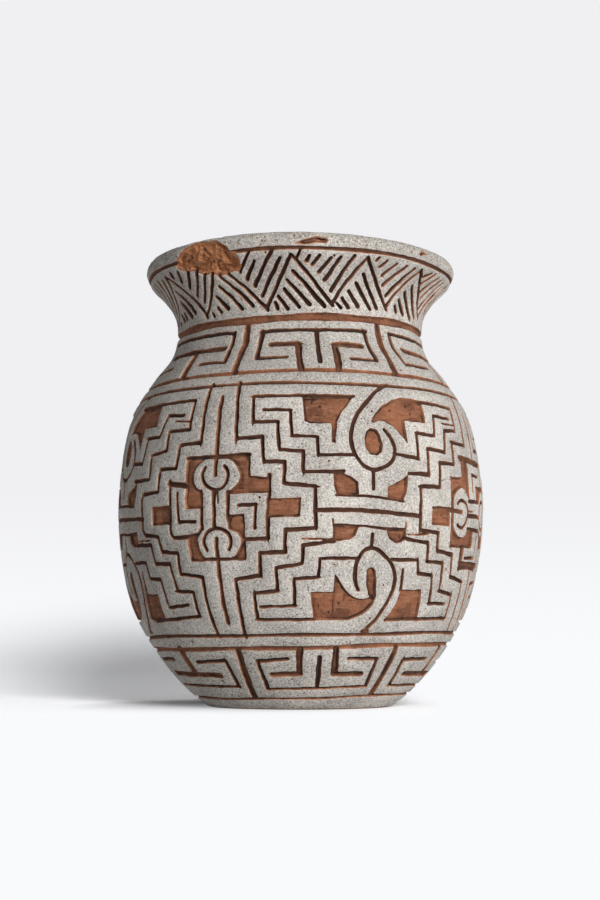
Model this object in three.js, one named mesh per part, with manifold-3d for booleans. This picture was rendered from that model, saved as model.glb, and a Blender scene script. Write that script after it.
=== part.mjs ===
import * as THREE from "three";
import { mergeVertices } from "three/addons/utils/BufferGeometryUtils.js";
import Module from "manifold-3d";

// Earthenware vase: a hollow fired clay body under a thin white slip coat.
// The potter carved through the slip to the clay, so the coat is many separate islands.
// Millimetres, +Z up, the foot stands on z = 0 and the axis is Z.
// Angles are degrees about Z: 0 faces -Y, and they grow towards +X.

// Heights of the carved bands, from the foot up
const footBand = 5.7;
const lowerKeyBand = 24.1;
const lowerRing = 6.1;
const figureBand = 119.3;
const upperRing = 6.1;
const upperKeyBand = 30.1;
const hatchBand = 28.6;
const lipBand = 9;

// Radii of the slip surface
const baseRadius = 46.5;
const footRadius = 54.3;
const lowerKeyRadius = 75.2;
const bellyRadius = 94.5;
const shoulderRadius = 83.8;
const upperKeyRadius = 68.4;
const neckRadius = 64.2;
const hatchRadius = 65.9;
const lipLineRadius = 79.3;
const lipRadius = 80.9;

// Clay and slip
const wallThickness = 7.5;
const floorThickness = 10;
const floorFillet = 6;
const coatThickness = 0.7;
const bondGap = 0.3;
const innerCoatDepth = 30;
const footCoatLift = 1.2;

// Carved lines
const lineWidth = 1.8;
const wideLineWidth = 3.2;
const keyStrokeWidth = 3.4;

// Repeats round the vase, and the angle of the first of each
const fieldCount = 4;
const firstFigureAngle = -25;
const keyPanelCount = 6;
const firstKeyAngle = 6.3;
const toothCount = 12;
const firstToothAngle = -16;
const toothLean = 0.4;

// Figure fields: a stepped cross. Half angles from the middle of the band outwards, and the heights
// above the middle where its edge steps in
const stepAngles = [29.4, 20.9, 13.8, 5.3];
const stepHeights = [9.8, 20.5, 32];
const headHalfAngle = 7.2;
const headHalfHeight = 7.6;
const upperHeadHeight = 15;
const lowerHeadHeight = -17;
const shaftHalfAngle = 3.5;

// How finely the round is cut into flats
const segments = 30;
const sideSteps = 14;
const degrees = Math.PI / 180;

const footTop = footBand;
const lowerKeyTop = footTop + lowerKeyBand;
const figureBottom = lowerKeyTop + lowerRing;
const figureTop = figureBottom + figureBand;
const figureMiddle = figureBottom + figureBand / 2;
const upperKeyBottom = figureTop + upperRing;
const upperKeyTop = upperKeyBottom + upperKeyBand;
const hatchTop = upperKeyTop + hatchBand;
const rimTop = hatchTop + lipBand;
const clayInset = coatThickness + bondGap;
const halfLine = lineWidth / 2;

const clay = { color: 0x96553a, roughness: 0.9, metalness: 0 };
const slip = { color: 0xc9c8c0, roughness: 0.8, metalness: 0 };

const wasm = await Module();
wasm.setup();
const vase = new THREE.Group();

function addPiece(name, geometry, finish) {
  const mesh = new THREE.Mesh(geometry, new THREE.MeshStandardMaterial(finish));
  mesh.name = name;
  vase.add(mesh);
}

function toSolid(geometry) {
  const plain = geometry.clone().deleteAttribute("normal").deleteAttribute("uv");
  const merged = mergeVertices(plain, 1e-4);
  return new wasm.Manifold(
    new wasm.Mesh({
      numProp: 3,
      vertProperties: merged.attributes.position.array,
      triVerts: merged.index.array,
    }),
  );
}

function toGeometry(solid) {
  const { vertProperties, triVerts } = solid.getMesh();
  const geometry = new THREE.BufferGeometry();
  geometry.setAttribute("position", new THREE.BufferAttribute(vertProperties, 3));
  geometry.setIndex(new THREE.BufferAttribute(triVerts, 1));
  return geometry;
}

// The side of the slip surface as [radius, height] points that a smooth curve runs through
const sidePoints = [
  [baseRadius, 0],
  [footRadius, footTop],
  [lowerKeyRadius, lowerKeyTop],
  [bellyRadius - 8.1, figureBottom + figureBand * 0.12],
  [bellyRadius, figureMiddle + figureBand * 0.03],
  [bellyRadius - 5.2, figureTop - figureBand * 0.1],
  [shoulderRadius, figureTop],
  [upperKeyRadius, (upperKeyBottom + upperKeyTop) / 2],
  [neckRadius, upperKeyTop],
  [hatchRadius, upperKeyTop + hatchBand * 0.38],
  [lipLineRadius, hatchTop],
];
const side = new THREE.CatmullRomCurve3(
  sidePoints.map(([radius, height]) => new THREE.Vector3(radius, height, 0)),
  false,
  "centripetal",
);

// Points on the side from one share of its length to another, moved inwards square to the surface
function sideLine(inset, from = 0, to = 1, steps = sideSteps) {
  return Array.from({ length: steps + 1 }, (_, i) => {
    const share = from + ((to - from) * i) / steps;
    const point = side.getPointAt(share);
    const along = side.getTangentAt(share);
    return [point.x - along.y * inset, point.y + along.x * inset];
  });
}

// The lip: a half ellipse over the rim, from the outside to the inside
const lipHalf = wallThickness / 2;
const lipMiddle = lipRadius - lipHalf;
const lipRise = lipBand * 0.4;
function lipLine(inset, steps = 4) {
  return Array.from({ length: steps + 1 }, (_, i) => {
    const turn = (Math.PI * i) / steps;
    const height = rimTop - lipRise + (lipRise - inset) * Math.sin(turn);
    return [lipMiddle + (lipHalf - inset) * Math.cos(turn), height];
  });
}

// The inside of the neck, from the lip down to where the slip ends
function neckLine(inset) {
  return sideLine(wallThickness - inset, 0.8, 0.95, 4)
    .filter(([, height]) => height > rimTop - innerCoatDepth)
    .reverse();
}

function revolve(profile) {
  const points = profile.map(([radius, height]) => new THREE.Vector2(radius, height));
  return new THREE.LatheGeometry(points, segments).rotateX(Math.PI / 2);
}

function onCircle(radius, angle, height) {
  return [radius * Math.sin(angle * degrees), -radius * Math.cos(angle * degrees), height];
}

function closedBody(points, faces) {
  const geometry = new THREE.BufferGeometry();
  geometry.setAttribute("position", new THREE.Float32BufferAttribute(points.flat(), 3));
  geometry.setIndex(faces.flat());
  return toSolid(geometry);
}

// Radii that a cutting body runs between: far beyond the wall where it spans a wide angle
const nearRadius = 30;
const farRadius = bellyRadius * 1.6;
const strokeReach = 22;

// A body that points at the axis and has the given outline of [angle, height] corners
function wedge(outline, near = nearRadius, far = farRadius) {
  const corners = outline.map(([angle, height]) => new THREE.Vector2(angle, height));
  if (THREE.ShapeUtils.area(corners) < 0) corners.reverse();
  const count = corners.length;
  const points = [
    ...corners.map(({ x, y }) => onCircle(near, x, y)),
    ...corners.map(({ x, y }) => onCircle(far, x, y)),
  ];
  const faces = [];
  THREE.ShapeUtils.triangulateShape(corners, []).forEach(([a, b, c]) => {
    faces.push([c, b, a], [a + count, b + count, c + count]);
  });
  corners.forEach((_, i) => {
    const next = (i + 1) % count;
    faces.push([i, next, next + count], [i, next + count, i + count]);
  });
  return closedBody(points, faces);
}

// A full ring between two heights, either of which may change round the vase.
// Its lower and upper faces are split along the same diagonals, so that rings with a gap stay apart
function ringBody(angles, bottomAt, topAt, near = nearRadius, far = farRadius) {
  const points = angles.flatMap((angle) => [
    onCircle(near, angle, bottomAt(angle)),
    onCircle(far, angle, bottomAt(angle)),
    onCircle(far, angle, topAt(angle)),
    onCircle(near, angle, topAt(angle)),
  ]);
  const faces = angles.flatMap((_, i) => {
    const [a, b, c, d] = [0, 1, 2, 3].map((k) => i * 4 + k);
    const [nextA, nextB, nextC, nextD] = [0, 1, 2, 3].map((k) => ((i + 1) % angles.length) * 4 + k);
    return [
      [a, nextA, nextB],
      [a, nextB, b],
      [b, nextB, nextC],
      [b, nextC, c],
      [c, nextC, d],
      [nextC, nextD, d],
      [d, nextD, nextA],
      [d, nextA, a],
    ];
  });
  return closedBody(points, faces);
}

// A carved line along [angle, height] points, square at both ends
function stroke(points, width = lineWidth, radius = bellyRadius) {
  const perDegree = radius * degrees;
  const flat = points.map(([angle, height]) => new THREE.Vector2(angle * perDegree, height));
  const half = width / 2;
  const left = [];
  const right = [];
  flat.forEach((point, i) => {
    const before = point.clone().sub(flat[Math.max(i - 1, 0)]).normalize();
    const after = flat[Math.min(i + 1, flat.length - 1)].clone().sub(point).normalize();
    const along = before.clone().add(after).normalize();
    const reach = half / Math.max(along.dot(i ? before : after), 0.5);
    const overrun = i === 0 ? -half : i === flat.length - 1 ? half : 0;
    const middle = point.clone().addScaledVector(along, overrun);
    left.push([(middle.x - along.y * reach) / perDegree, middle.y + along.x * reach]);
    right.push([(middle.x + along.y * reach) / perDegree, middle.y - along.x * reach]);
  });
  return wedge([...left, ...right.reverse()], radius - strokeReach, radius + strokeReach);
}

function moved(points, angle, height) {
  return points.map(([a, h]) => [a + angle, h + height]);
}

function mirrored(points) {
  return points.map(([a, h]) => [-a, h]);
}

function halfTurned(points) {
  return points.map(([a, h]) => [-a, -h]);
}

// A quarter turn, for the fields that lie on their side. What was a degree becomes this many millimetres,
// so that the turned opening stays inside the widest step of the cross
const perDegree = bellyRadius * degrees;
const turnedDegree = stepHeights[2] / 19.4;
function quarterTurned(points) {
  return points.map(([a, h]) => [-h / turnedDegree, a * turnedDegree]);
}

function ellipse(middleAngle, middleHeight, halfAngle, halfHeight, corners = 8) {
  return Array.from({ length: corners }, (_, i) => {
    const turn = (2 * Math.PI * i) / corners;
    return [middleAngle + halfAngle * Math.cos(turn), middleHeight + halfHeight * Math.sin(turn)];
  });
}

function smooth(points, count) {
  const curve = new THREE.SplineCurve(points.map(([a, h]) => new THREE.Vector2(a, h)));
  return curve.getPoints(count).map(({ x, y }) => [x, y]);
}

// The whole outside coat as one shell, which the bands and fields are parted from
const outsideShell = toSolid(
  revolve([...sideLine(0), ...sideLine(coatThickness).reverse(), [baseRadius, 0]]),
);

function addCoat(name, body, cuts = []) {
  const coat = cuts.reduce((rest, cut) => rest.subtract(cut), outsideShell.intersect(body));
  addPiece(name, toGeometry(coat), slip);
}

// Fired clay body: one open pot, flat underneath
const insideLine = sideLine(wallThickness, 0, 0.92, 20).filter(
  ([, height]) => height > floorThickness + floorFillet / 2 && height < rimTop - innerCoatDepth - 2,
);
const [[floorEdgeRadius]] = insideLine;
addPiece(
  "clay_body",
  revolve([
    [0, 0],
    [baseRadius - 2 * clayInset, 0],
    ...sideLine(clayInset),
    ...lipLine(clayInset),
    ...neckLine(clayInset),
    ...insideLine.reverse(),
    [floorEdgeRadius - floorFillet, floorThickness],
    [0, floorThickness],
  ]),
  clay,
);

// The rough chip that took the slip off the lip and the top of the hatched band
const chipCorners = [
  [-52, -0.5], [-46, -4.5], [-38, -8.3], [-29, -8.2], [-22, -4],
  [-25.3, 3.3], [-31, 6.6], [-41, 7.2], [-49.5, 3.5],
];
const chipOutline = moved(chipCorners, 0, hatchTop);
const chip = wedge(chipOutline);

// Slip over the lip and down the inside of the neck
const lipFoot = [lipLineRadius + lineWidth / 4, hatchTop + halfLine];
const lipShell = toSolid(
  revolve([
    lipFoot,
    ...lipLine(0),
    ...neckLine(0),
    ...neckLine(coatThickness).reverse(),
    ...lipLine(coatThickness).reverse(),
    [lipFoot[0] - coatThickness, lipFoot[1]],
    lipFoot,
  ]),
);
addPiece("lip_coat", toGeometry(lipShell.subtract(wedge(chipOutline, lipMiddle))), slip);

// Hatched band: a zigzag line parts the standing teeth from the hanging ones
const toothPitch = 360 / toothCount;
const zigzagLow = upperKeyTop + 4;
const zigzagHigh = hatchTop - 3.5;
const zigzagGap = lineWidth * 0.75;
const toothShares = [0, toothLean / 2, toothLean, (1 + toothLean) / 2];
const hatchAngles = Array.from({ length: toothCount }, (_, i) => i).flatMap((i) =>
  toothShares.map((share) => firstToothAngle + (i + share) * toothPitch),
);
function zigzagHeight(angle) {
  const share = ((angle - firstToothAngle) / toothPitch) % 1;
  const climb = share < toothLean ? share / toothLean : (1 - share) / (1 - toothLean);
  return zigzagLow + (zigzagHigh - zigzagLow) * climb;
}
function toothRing(bottomAt, topAt) {
  return ringBody(hatchAngles, bottomAt, topAt, neckRadius - 12, lipRadius + 8);
}
const standingTeeth = toothRing(
  () => upperKeyTop + wideLineWidth / 2,
  (angle) => zigzagHeight(angle) - zigzagGap,
);
const hangingTeeth = toothRing(
  (angle) => zigzagHeight(angle) + zigzagGap,
  () => hatchTop - halfLine,
);
addCoat("hatch_lower_coat", standingTeeth, [chip]);
addCoat("hatch_upper_coat", hangingTeeth, [chip]);

// Plain rings between the carved bands
const everyAngle = Array.from({ length: segments }, (_, i) => (i * 360) / segments);
function plainRing(name, bottom, top) {
  addCoat(name, ringBody(everyAngle, () => bottom, () => top));
}
plainRing("foot_coat", footCoatLift, footTop - halfLine);
plainRing("lower_ring_coat", lowerKeyTop + halfLine, figureBottom - halfLine);
plainRing("upper_ring_coat", figureTop + halfLine, upperKeyBottom - halfLine);

// Key bands: panels between upright cuts, each notched by wide strokes that open on its inner edge.
// Heights run from that edge
const keyPitch = 360 / keyPanelCount;
const keyHook = [[7.4, 0], [7.8, 14.7], [19, 14.7]];
const keyPair = [keyHook, mirrored(keyHook)];
const keyTee = [[[0, 0], [0, 14.2]], [[-15, 14.2], [15, 14.2]]];

function keyPanel(name, centre, strokes, innerEdge, outerEdge, radius) {
  const direction = Math.sign(outerEdge - innerEdge);
  const edgeAngle = keyPitch / 2 - wideLineWidth / 2 / (radius * degrees);
  const near = innerEdge + direction * halfLine;
  const outline = [[-edgeAngle, near], [edgeAngle, near], [edgeAngle, outerEdge], [-edgeAngle, outerEdge]];
  const place = (points) => points.map(([a, h]) => [a + centre, innerEdge + direction * h]);
  const cuts = strokes.map((points) => stroke(place(points), keyStrokeWidth, radius));
  addCoat(name, wedge(moved(outline, centre, 0)), cuts);
}

for (let i = 0; i < keyPanelCount; i += 1) {
  const centre = firstKeyAngle + i * keyPitch;
  const strokes = i % 2 ? keyTee : keyPair;
  const upperEdge = upperKeyTop - wideLineWidth / 2;
  keyPanel(`upper_key_panel_${i + 1}`, centre, strokes, upperKeyBottom, upperEdge, upperKeyRadius);
  keyPanel(`lower_key_panel_${i + 1}`, centre, strokes, lowerKeyTop, footTop + halfLine, upperKeyRadius);
}

// A quarter of the figure field's stepped edge, going up, moved out by a clearance
const halfBand = figureBand / 2 - halfLine;
function steppedEdge(clearance) {
  return stepAngles.flatMap((angle, i) => {
    const edgeAngle = angle + clearance / perDegree;
    const low = i ? stepHeights[i - 1] + clearance : halfLine;
    const high = i < stepHeights.length ? stepHeights[i] + clearance : halfBand;
    return [[edgeAngle, low], [edgeAngle, high]];
  });
}

// Figure field: the ground round the figure, the figure with its two forked heads, and two side panels.
// Every other field lies on its side
const opening = [
  [-16, -14], [-9.4, -14], [-9.4, -26], [9.6, -26], [9.6, -15.6], [16.4, -15.6],
  [16.4, 14], [10.6, 14], [10.6, 24.3], [-10, 24.3], [-10, 12], [-16, 12],
];
const leftSquare = [[-24.3, -7], [-15.5, -7], [-15.5, 1.8], [-24.3, 1.8]];
const rightSquare = [[15.5, -5.2], [24.8, -5.2], [24.8, 3.6], [15.5, 3.6]];
const leftPanel = [
  [-15, -12.6], [-7.8, -12.6], [-5.2, -9.2], [-5.2, -1.2], [-10.4, -1.2], [-10.4, 10.6], [-15, 10.6],
];
const rightPanel = [[5.2, -3], [10.2, -3], [10.2, -14.4], [15.2, -14.4], [15.2, 5.2], [5.2, 5.2]];
const leftHook = [[-12.6, 7.6], [-12.6, -6.6], [-7.4, -6.6]];
const rightHook = [[7.8, 0.6], [12, 0.6], [12, -10.6]];
const upperSlot = [[0, 15], [0, 24]];
const lowerSlot = [[0, -26], [0, -15.2]];
const shaftLine = [[0, 5.6], [0, -7]];
const upperBarLine = [[0, 24.3], [0, halfBand - 6]];

function figureField(number, centre, turn) {
  const place = (points) => moved(turn(points), centre, figureMiddle);
  const upright = (points) => moved(points, centre, figureMiddle);
  const edge = steppedEdge(-halfLine);
  const right = [...edge.slice(1), ...mirrored(edge).reverse().slice(0, -1)];
  const ground = [...right, ...halfTurned(right)];
  addCoat(`figure_ground_${number}`, wedge(upright(ground)), [
    wedge(place(opening)),
    wedge(upright(leftSquare)),
    wedge(upright(rightSquare)),
    stroke(upright(upperBarLine)),
    stroke(upright(halfTurned(upperBarLine))),
  ]);
  const shaft = [
    [-shaftHalfAngle, lowerHeadHeight],
    [shaftHalfAngle, lowerHeadHeight],
    [shaftHalfAngle, upperHeadHeight],
    [-shaftHalfAngle, upperHeadHeight],
  ];
  const heads = [upperHeadHeight, lowerHeadHeight].map((height) =>
    wedge(place(ellipse(0, height, headHalfAngle, headHalfHeight))),
  );
  const figure = heads.reduce((body, head) => body.add(head), wedge(place(shaft)));
  const figureCuts = [upperSlot, lowerSlot, shaftLine];
  addCoat(`figure_${number}`, figure, figureCuts.map((points) => stroke(place(points))));
  addCoat(`figure_left_panel_${number}`, wedge(place(leftPanel)), [stroke(place(leftHook))]);
  addCoat(`figure_right_panel_${number}`, wedge(place(rightPanel)), [stroke(place(rightHook))]);
}

// Scroll fields fill the space between two figure fields, an upper one and a lower one half a turn round
const fieldPitch = 360 / fieldCount;
const scrollLine = smooth(
  [
    [9.2, 60], [3.7, 55.2], [-1.7, 47], [-5.3, 36.5], [-5, 25],
    [0.6, 17.2], [7.4, 23], [8.1, 28], [5.1, 36.7],
  ],
  12,
);
const leftPit = [
  [-20, 52.3], [-4, 52.3], [-8.1, 44.5], [-10.3, 29.5], [-11.5, 29.5], [-11.5, 38.8], [-20, 38.8],
];
const rightPit = [
  [1.6, 41], [5.6, 49], [12.8, 53], [21, 53], [21, 41.8], [12.8, 41.8], [12.8, 31],
  [9.7, 36.5], [5.6, 40.5],
];

function scrollField(name, centre, turn) {
  const place = (points) => moved(turn(points), centre, figureMiddle);
  const right = steppedEdge(halfLine).map(([a, h]) => [fieldPitch / 2 - a, h]);
  const outline = [...right, ...mirrored(right).reverse()];
  const pits = [leftPit, rightPit];
  addCoat(name, wedge(place(outline)), [
    stroke(place(scrollLine)),
    ...pits.map((points) => wedge(place(points))),
  ]);
}

const asDrawn = (points) => points;
for (let i = 0; i < fieldCount; i += 1) {
  const figureAngle = firstFigureAngle + i * fieldPitch;
  figureField(i + 1, figureAngle, i % 2 ? quarterTurned : asDrawn);
  scrollField(`upper_scroll_field_${i + 1}`, figureAngle + fieldPitch / 2, asDrawn);
  scrollField(`lower_scroll_field_${i + 1}`, figureAngle + fieldPitch / 2, halfTurned);
}

export default vase;
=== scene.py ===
import math

import bpy
import numpy as np
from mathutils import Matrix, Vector
from mathutils.bvhtree import BVHTree
from mathutils.geometry import delaunay_2d_cdt


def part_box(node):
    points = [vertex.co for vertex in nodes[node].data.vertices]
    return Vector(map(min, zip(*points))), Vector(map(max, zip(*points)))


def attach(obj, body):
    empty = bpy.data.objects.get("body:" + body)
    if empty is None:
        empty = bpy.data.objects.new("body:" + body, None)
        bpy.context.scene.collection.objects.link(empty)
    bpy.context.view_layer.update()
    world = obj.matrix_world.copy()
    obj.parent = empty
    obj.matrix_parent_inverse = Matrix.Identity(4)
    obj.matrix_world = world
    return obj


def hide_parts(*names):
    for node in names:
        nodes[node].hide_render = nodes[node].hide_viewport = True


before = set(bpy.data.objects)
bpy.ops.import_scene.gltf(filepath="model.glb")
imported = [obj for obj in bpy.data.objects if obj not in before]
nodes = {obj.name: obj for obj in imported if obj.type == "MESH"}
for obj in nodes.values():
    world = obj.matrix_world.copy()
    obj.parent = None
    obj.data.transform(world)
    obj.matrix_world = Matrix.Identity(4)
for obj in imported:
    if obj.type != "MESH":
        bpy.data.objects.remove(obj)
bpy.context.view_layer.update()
coatNames = [name for name in nodes if name != "clay_body"]
rng = np.random.default_rng(11)
degree = math.pi / 180
print("frame loaded,", len(nodes), "nodes")

# The pot is drawn in millimetres and degrees. 0 degrees faces the camera and they grow to its right.
# mm is one drawn millimetre in the frame's own units
pot = {
    "height": 229,
    "outline": [  # radius, height of the slip, up the outside, over the lip and down into the neck
        (46.5, 0), (54.6, 6), (62.8, 14), (74, 28), (86.2, 50), (92.4, 75), (94.5, 100), (92.3, 125),
        (87.2, 148), (76.4, 166), (66.5, 180), (64.2, 192), (65.7, 202), (72, 212), (79.3, 220),
        (80.9, 225.2), (79.7, 228), (77, 229), (74.3, 227.8), (73.2, 225), (70.8, 219.5), (65, 211.5),
        (59.4, 203.5), (57.2, 196), (57, 190),
    ],
    "slip": 0.36,  # thickness of the slip
    "skin": 0.3,  # how far under the slip's face the clay lies
    "bareFoot": 0.5,
    "bareNeck": 4,
}
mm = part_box("lip_coat")[1].z / pot["height"]


def smoothThrough(points, step):
    # a soft curve through the points, with a new point about every step
    knots = np.array(points, float)
    gaps = np.hypot(*np.diff(knots, axis=0).T)
    along = np.concatenate([[0], np.cumsum(gaps)])
    slopes = np.gradient(knots, along, axis=0)
    places = np.linspace(0, along[-1], max(2, int(along[-1] / step) + 1))
    piece = np.clip(np.searchsorted(along, places, "right") - 1, 0, len(gaps) - 1)
    size = gaps[piece][:, None]
    t = (places - along[piece])[:, None] / size
    start, end = knots[piece], knots[piece + 1]
    lean, leanNext = slopes[piece] * size, slopes[piece + 1] * size
    return (
        start * (1 + 2 * t) * (1 - t) ** 2
        + lean * t * (1 - t) ** 2
        + end * t * t * (3 - 2 * t)
        + leanNext * t * t * (t - 1)
    )


profile = smoothThrough(pot["outline"], 0.2)
profileLength = np.concatenate([[0], np.cumsum(np.hypot(*np.diff(profile, axis=0).T))])
profileSlope = np.gradient(profile, profileLength, axis=0)
wholeLength = profileLength[-1]
lipTop = int(np.argmax(profile[:, 1]))


def lengthAt(height):
    # how far up the outside a height lies, measured along the wall
    return np.interp(height, profile[: lipTop + 1, 1], profileLength[: lipTop + 1])


def radiusAt(length):
    return np.interp(length, profileLength, profile[:, 0])


# The wall unrolled: rows run up the outside and over the lip, columns run round it
wall = {"columns": 1440, "rowStep": 0.42}
columns = wall["columns"]
rowLength = np.linspace(0, wholeLength, int(wholeLength / wall["rowStep"]))
rows = len(rowLength)
rowRadius = radiusAt(rowLength)
columnAngle = -180 + 360 / columns * np.arange(columns)
away = np.full((rows, columns), 9.0)  # distance to the nearest carved edge, negative inside a cut
dent = np.zeros((rows, columns))  # pits and cracks, on top of a cut's depth
dentSpots = []  # where the mesh needs points of its own to show them, as angle and length
layers = {
    "depth": np.full((rows, columns), pot["skin"]),  # of the cut's floor under the slip's face
    "run": np.full((rows, columns), 0.42),  # how far in from its edge a cut reaches its full depth
    "fresh": np.zeros((rows, columns)),  # 1 where the clay is newly broken
    "dirt": np.zeros((rows, columns)),  # 1 where the cut is darker: partly dirt, partly painted shade
    "trench": np.zeros((rows, columns)),  # 1 where the floor is sunk along its edge
}


def softNoise(cell, seed, stretch=1.0):
    # smooth lumps between -1 and 1, about one cell high and stretch cells wide, that close round the pot
    draw = np.random.default_rng(seed)
    down = int(wholeLength / cell) + 3
    around = int(2 * math.pi * 80 / (cell * stretch))
    lumps = draw.uniform(-1, 1, (down, around))
    y = rowLength / cell
    x = (columnAngle + 180) / 360 * around
    y0, x0 = y.astype(int), x.astype(int) % around
    fy, fx = (y - y0)[:, None], (x - x.astype(int))[None, :]
    fy, fx = fy * fy * (3 - 2 * fy), fx * fx * (3 - 2 * fx)
    x1 = (x0 + 1) % around
    low = lumps[np.ix_(y0, x0)] * (1 - fx) + lumps[np.ix_(y0, x1)] * fx
    high = lumps[np.ix_(y0 + 1, x0)] * (1 - fx) + lumps[np.ix_(y0 + 1, x1)] * fx
    return low * (1 - fy) + high * fy


def flattened(points, middle):
    # (degrees, height) to millimetres on the unrolled wall
    lengths = [float(lengthAt(height)) for _, height in points]
    return [
        ((angle - middle) * degree * float(radiusAt(length)), length)
        for (angle, _), length in zip(points, lengths)
    ]


tool = {  # the cutting tool and the hand that leads it, in millimetres
    "reach": 2.5,  # how far round a cut its distance is worked out
    "handStep": 2.2,  # between the points that a wavering line runs through
    "handWaves": (7, 13, 29),  # lengths of the waves that the hand draws
    "curveStep": 1.6,
    "swell": 0.08,  # share by which a line's width comes and goes
    "swellRun": 3.1,
    "overrun": (-1.6, 1.5),  # how far past a corner a stroke may run
    "leastOverrun": 0.2,  # a shorter one isn't cut
    "tipWidth": 0.2,
    "bank": 0.28,  # run of a line's sloping side, as a share of its width
    "longestBank": 0.6,
    "sunkFrom": 3,  # a line wider than this is sunk along its edges
}
anyPhase = (0, 6.3)  # where a wave may start, about a whole turn


def handDrawn(flat, shake):
    # puts points between the given ones and lets the hand waver, so that corners stay sharp
    path = np.array(flat, float)
    gaps = np.hypot(*np.diff(path, axis=0).T)
    drawn = [path[0]]
    for start, end, gap in zip(path, path[1:], gaps):
        count = max(1, int(round(gap / tool["handStep"])))
        drawn += [start + (end - start) * (k + 1) / count for k in range(count)]
    drawn = np.array(drawn)
    travel = np.concatenate([[0], np.cumsum(np.hypot(*np.diff(drawn, axis=0).T))])
    waver = np.zeros_like(drawn)
    for wave in tool["handWaves"]:
        waver += np.sin(travel[:, None] * 2 * math.pi / wave + rng.uniform(*anyPhase, 2)) * shake / 2
    return drawn + waver, travel


def lineDistance(x, y, path, halves):
    nearest = np.full(np.broadcast(x, y).shape, 99.0)
    for (ax, ay), (bx, by), wide, wideNext in zip(path, path[1:], halves, halves[1:]):
        dx, dy = bx - ax, by - ay
        share = ((x - ax) * dx + (y - ay) * dy) / max(dx * dx + dy * dy, 1e-9)
        share = np.clip(share, 0, 1)
        gap = np.hypot(x - ax - share * dx, y - ay - share * dy) - wide - (wideNext - wide) * share
        np.minimum(nearest, gap, out=nearest)
    return nearest


def areaDistance(x, y, path):
    closed = list(path) + [path[0]]
    nearest = lineDistance(x, y, closed, np.zeros(len(closed)))
    inside = np.zeros(nearest.shape, bool)
    for (ax, ay), (bx, by) in zip(closed, closed[1:]):
        rise = by - ay if abs(by - ay) > 1e-9 else 1e-9
        inside ^= ((ay > y) != (by > y)) & (x < (bx - ax) * (y - ay) / rise + ax)
    return np.where(inside, -nearest, nearest)


def windowOn(points, reach):
    # the part of the wall round some points, in millimetres sideways from their middle and up
    angles = [angle for angle, _ in points]
    lengths = [float(lengthAt(height)) for _, height in points]
    middle = (min(angles) + max(angles)) / 2
    near = np.where((rowLength > min(lengths) - reach) & (rowLength < max(lengths) + reach))[0]
    fromMiddle = (columnAngle - middle + 180) % 360 - 180
    span = (max(angles) - min(angles)) / 2 + reach / (rowRadius[near].min() * degree)
    beside = np.where(np.abs(fromMiddle) < span)[0]
    x = fromMiddle[beside][None, :] * degree * rowRadius[near][:, None]
    return np.ix_(near, beside), x, rowLength[near][:, None], middle


def pressed(window, distance, cut):
    # the new cut holds wherever its edge is nearer than what is already there
    closer = distance < away[window]
    away[window] = np.where(closer, distance, away[window])
    for name, value in cut.items():
        layers[name][window] = np.where(closer, value, layers[name][window])


def carve(points, distanceTo, cut):
    # cuts one stroke or area into the unrolled wall
    window, x, y, middle = windowOn(points, tool["reach"])
    pressed(window, distanceTo(x, y, middle), cut)


def bankOf(width):
    return min(tool["longestBank"], tool["bank"] * width)


def carveLine(points, width, depth=1.8, curved=False, widthEnd=None, shake=0.16, dirt=0.8):
    def distanceTo(x, y, middle):
        flat = flattened(points, middle)
        if curved:
            flat = smoothThrough(flat, tool["curveStep"])
        path, travel = handDrawn(flat, shake)
        share = travel / travel[-1]
        halves = (width + ((widthEnd or width) - width) * share) / 2
        halves *= 1 + tool["swell"] * np.sin(travel / tool["swellRun"] + rng.uniform(*anyPhase))
        distance = lineDistance(x, y, path, halves)
        for before, corner in [] if curved else zip(flat, flat[1:-1]):
            past = rng.uniform(*tool["overrun"])
            if past > tool["leastOverrun"]:
                way = (np.array(corner) - before) / math.dist(corner, before)
                tip = np.array(corner) + way * (past + width / 2)
                ends = [width * 0.4, tool["tipWidth"]]
                distance = np.minimum(distance, lineDistance(x, y, [corner, tip], ends))
        return distance

    trench = 0.7 if width > tool["sunkFrom"] else 0
    cut = {"depth": depth, "run": bankOf(width), "fresh": 0, "dirt": dirt, "trench": trench}
    carve(points, distanceTo, cut)


def carveArea(points, keep=(), depth=1.25, shake=0.2, **look):
    # keep lists outlines that stay standing inside the area, and look replaces other layers of the cut
    def distanceTo(x, y, middle):
        distance = areaDistance(x, y, handDrawn(flattened(points, middle), shake)[0])
        for island in keep:
            path = handDrawn(flattened(island, middle), shake / 2)[0]
            distance = np.maximum(distance, -areaDistance(x, y, path))
        return distance

    cut = {"depth": depth, "run": 0.5, "fresh": 0, "dirt": 0.1, "trench": 1}
    carve(points, distanceTo, {**cut, **look})


ringCut = {
    "depth": 1.15,
    "sunk": 0.45,  # for a wide ring
    "fineWidth": 2,  # rings finer than this are darker: dirt and painted shade in the narrow groove
    "fineDirtAndShade": 0.75,
    "dirt": 0.25,
}


def carveRing(height, lean, sag, width):
    # a line all the way round, lower on the left than on the right by twice the lean,
    # and lower in front by the sag
    waver = 0.25 * np.sin(3 * columnAngle * degree + rng.uniform(*anyPhase))
    waver += 0.18 * np.sin(7 * columnAngle * degree + rng.uniform(*anyPhase))
    waver -= sag * np.cos(columnAngle * degree)
    middle = lengthAt(height + lean * np.sin(columnAngle * degree) + waver)
    half = width / 2 * (1 + 0.12 * np.sin(11 * columnAngle * degree + rng.uniform(*anyPhase)))
    distance = np.abs(rowLength[:, None] - middle[None, :]) - half[None, :]
    cut = {
        "depth": ringCut["depth"],
        "run": bankOf(width),
        "dirt": ringCut["fineDirtAndShade"] if width < ringCut["fineWidth"] else ringCut["dirt"],
        "trench": ringCut["sunk"] if width > tool["sunkFrom"] else 0,
    }
    pressed(..., distance, cut)


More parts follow.
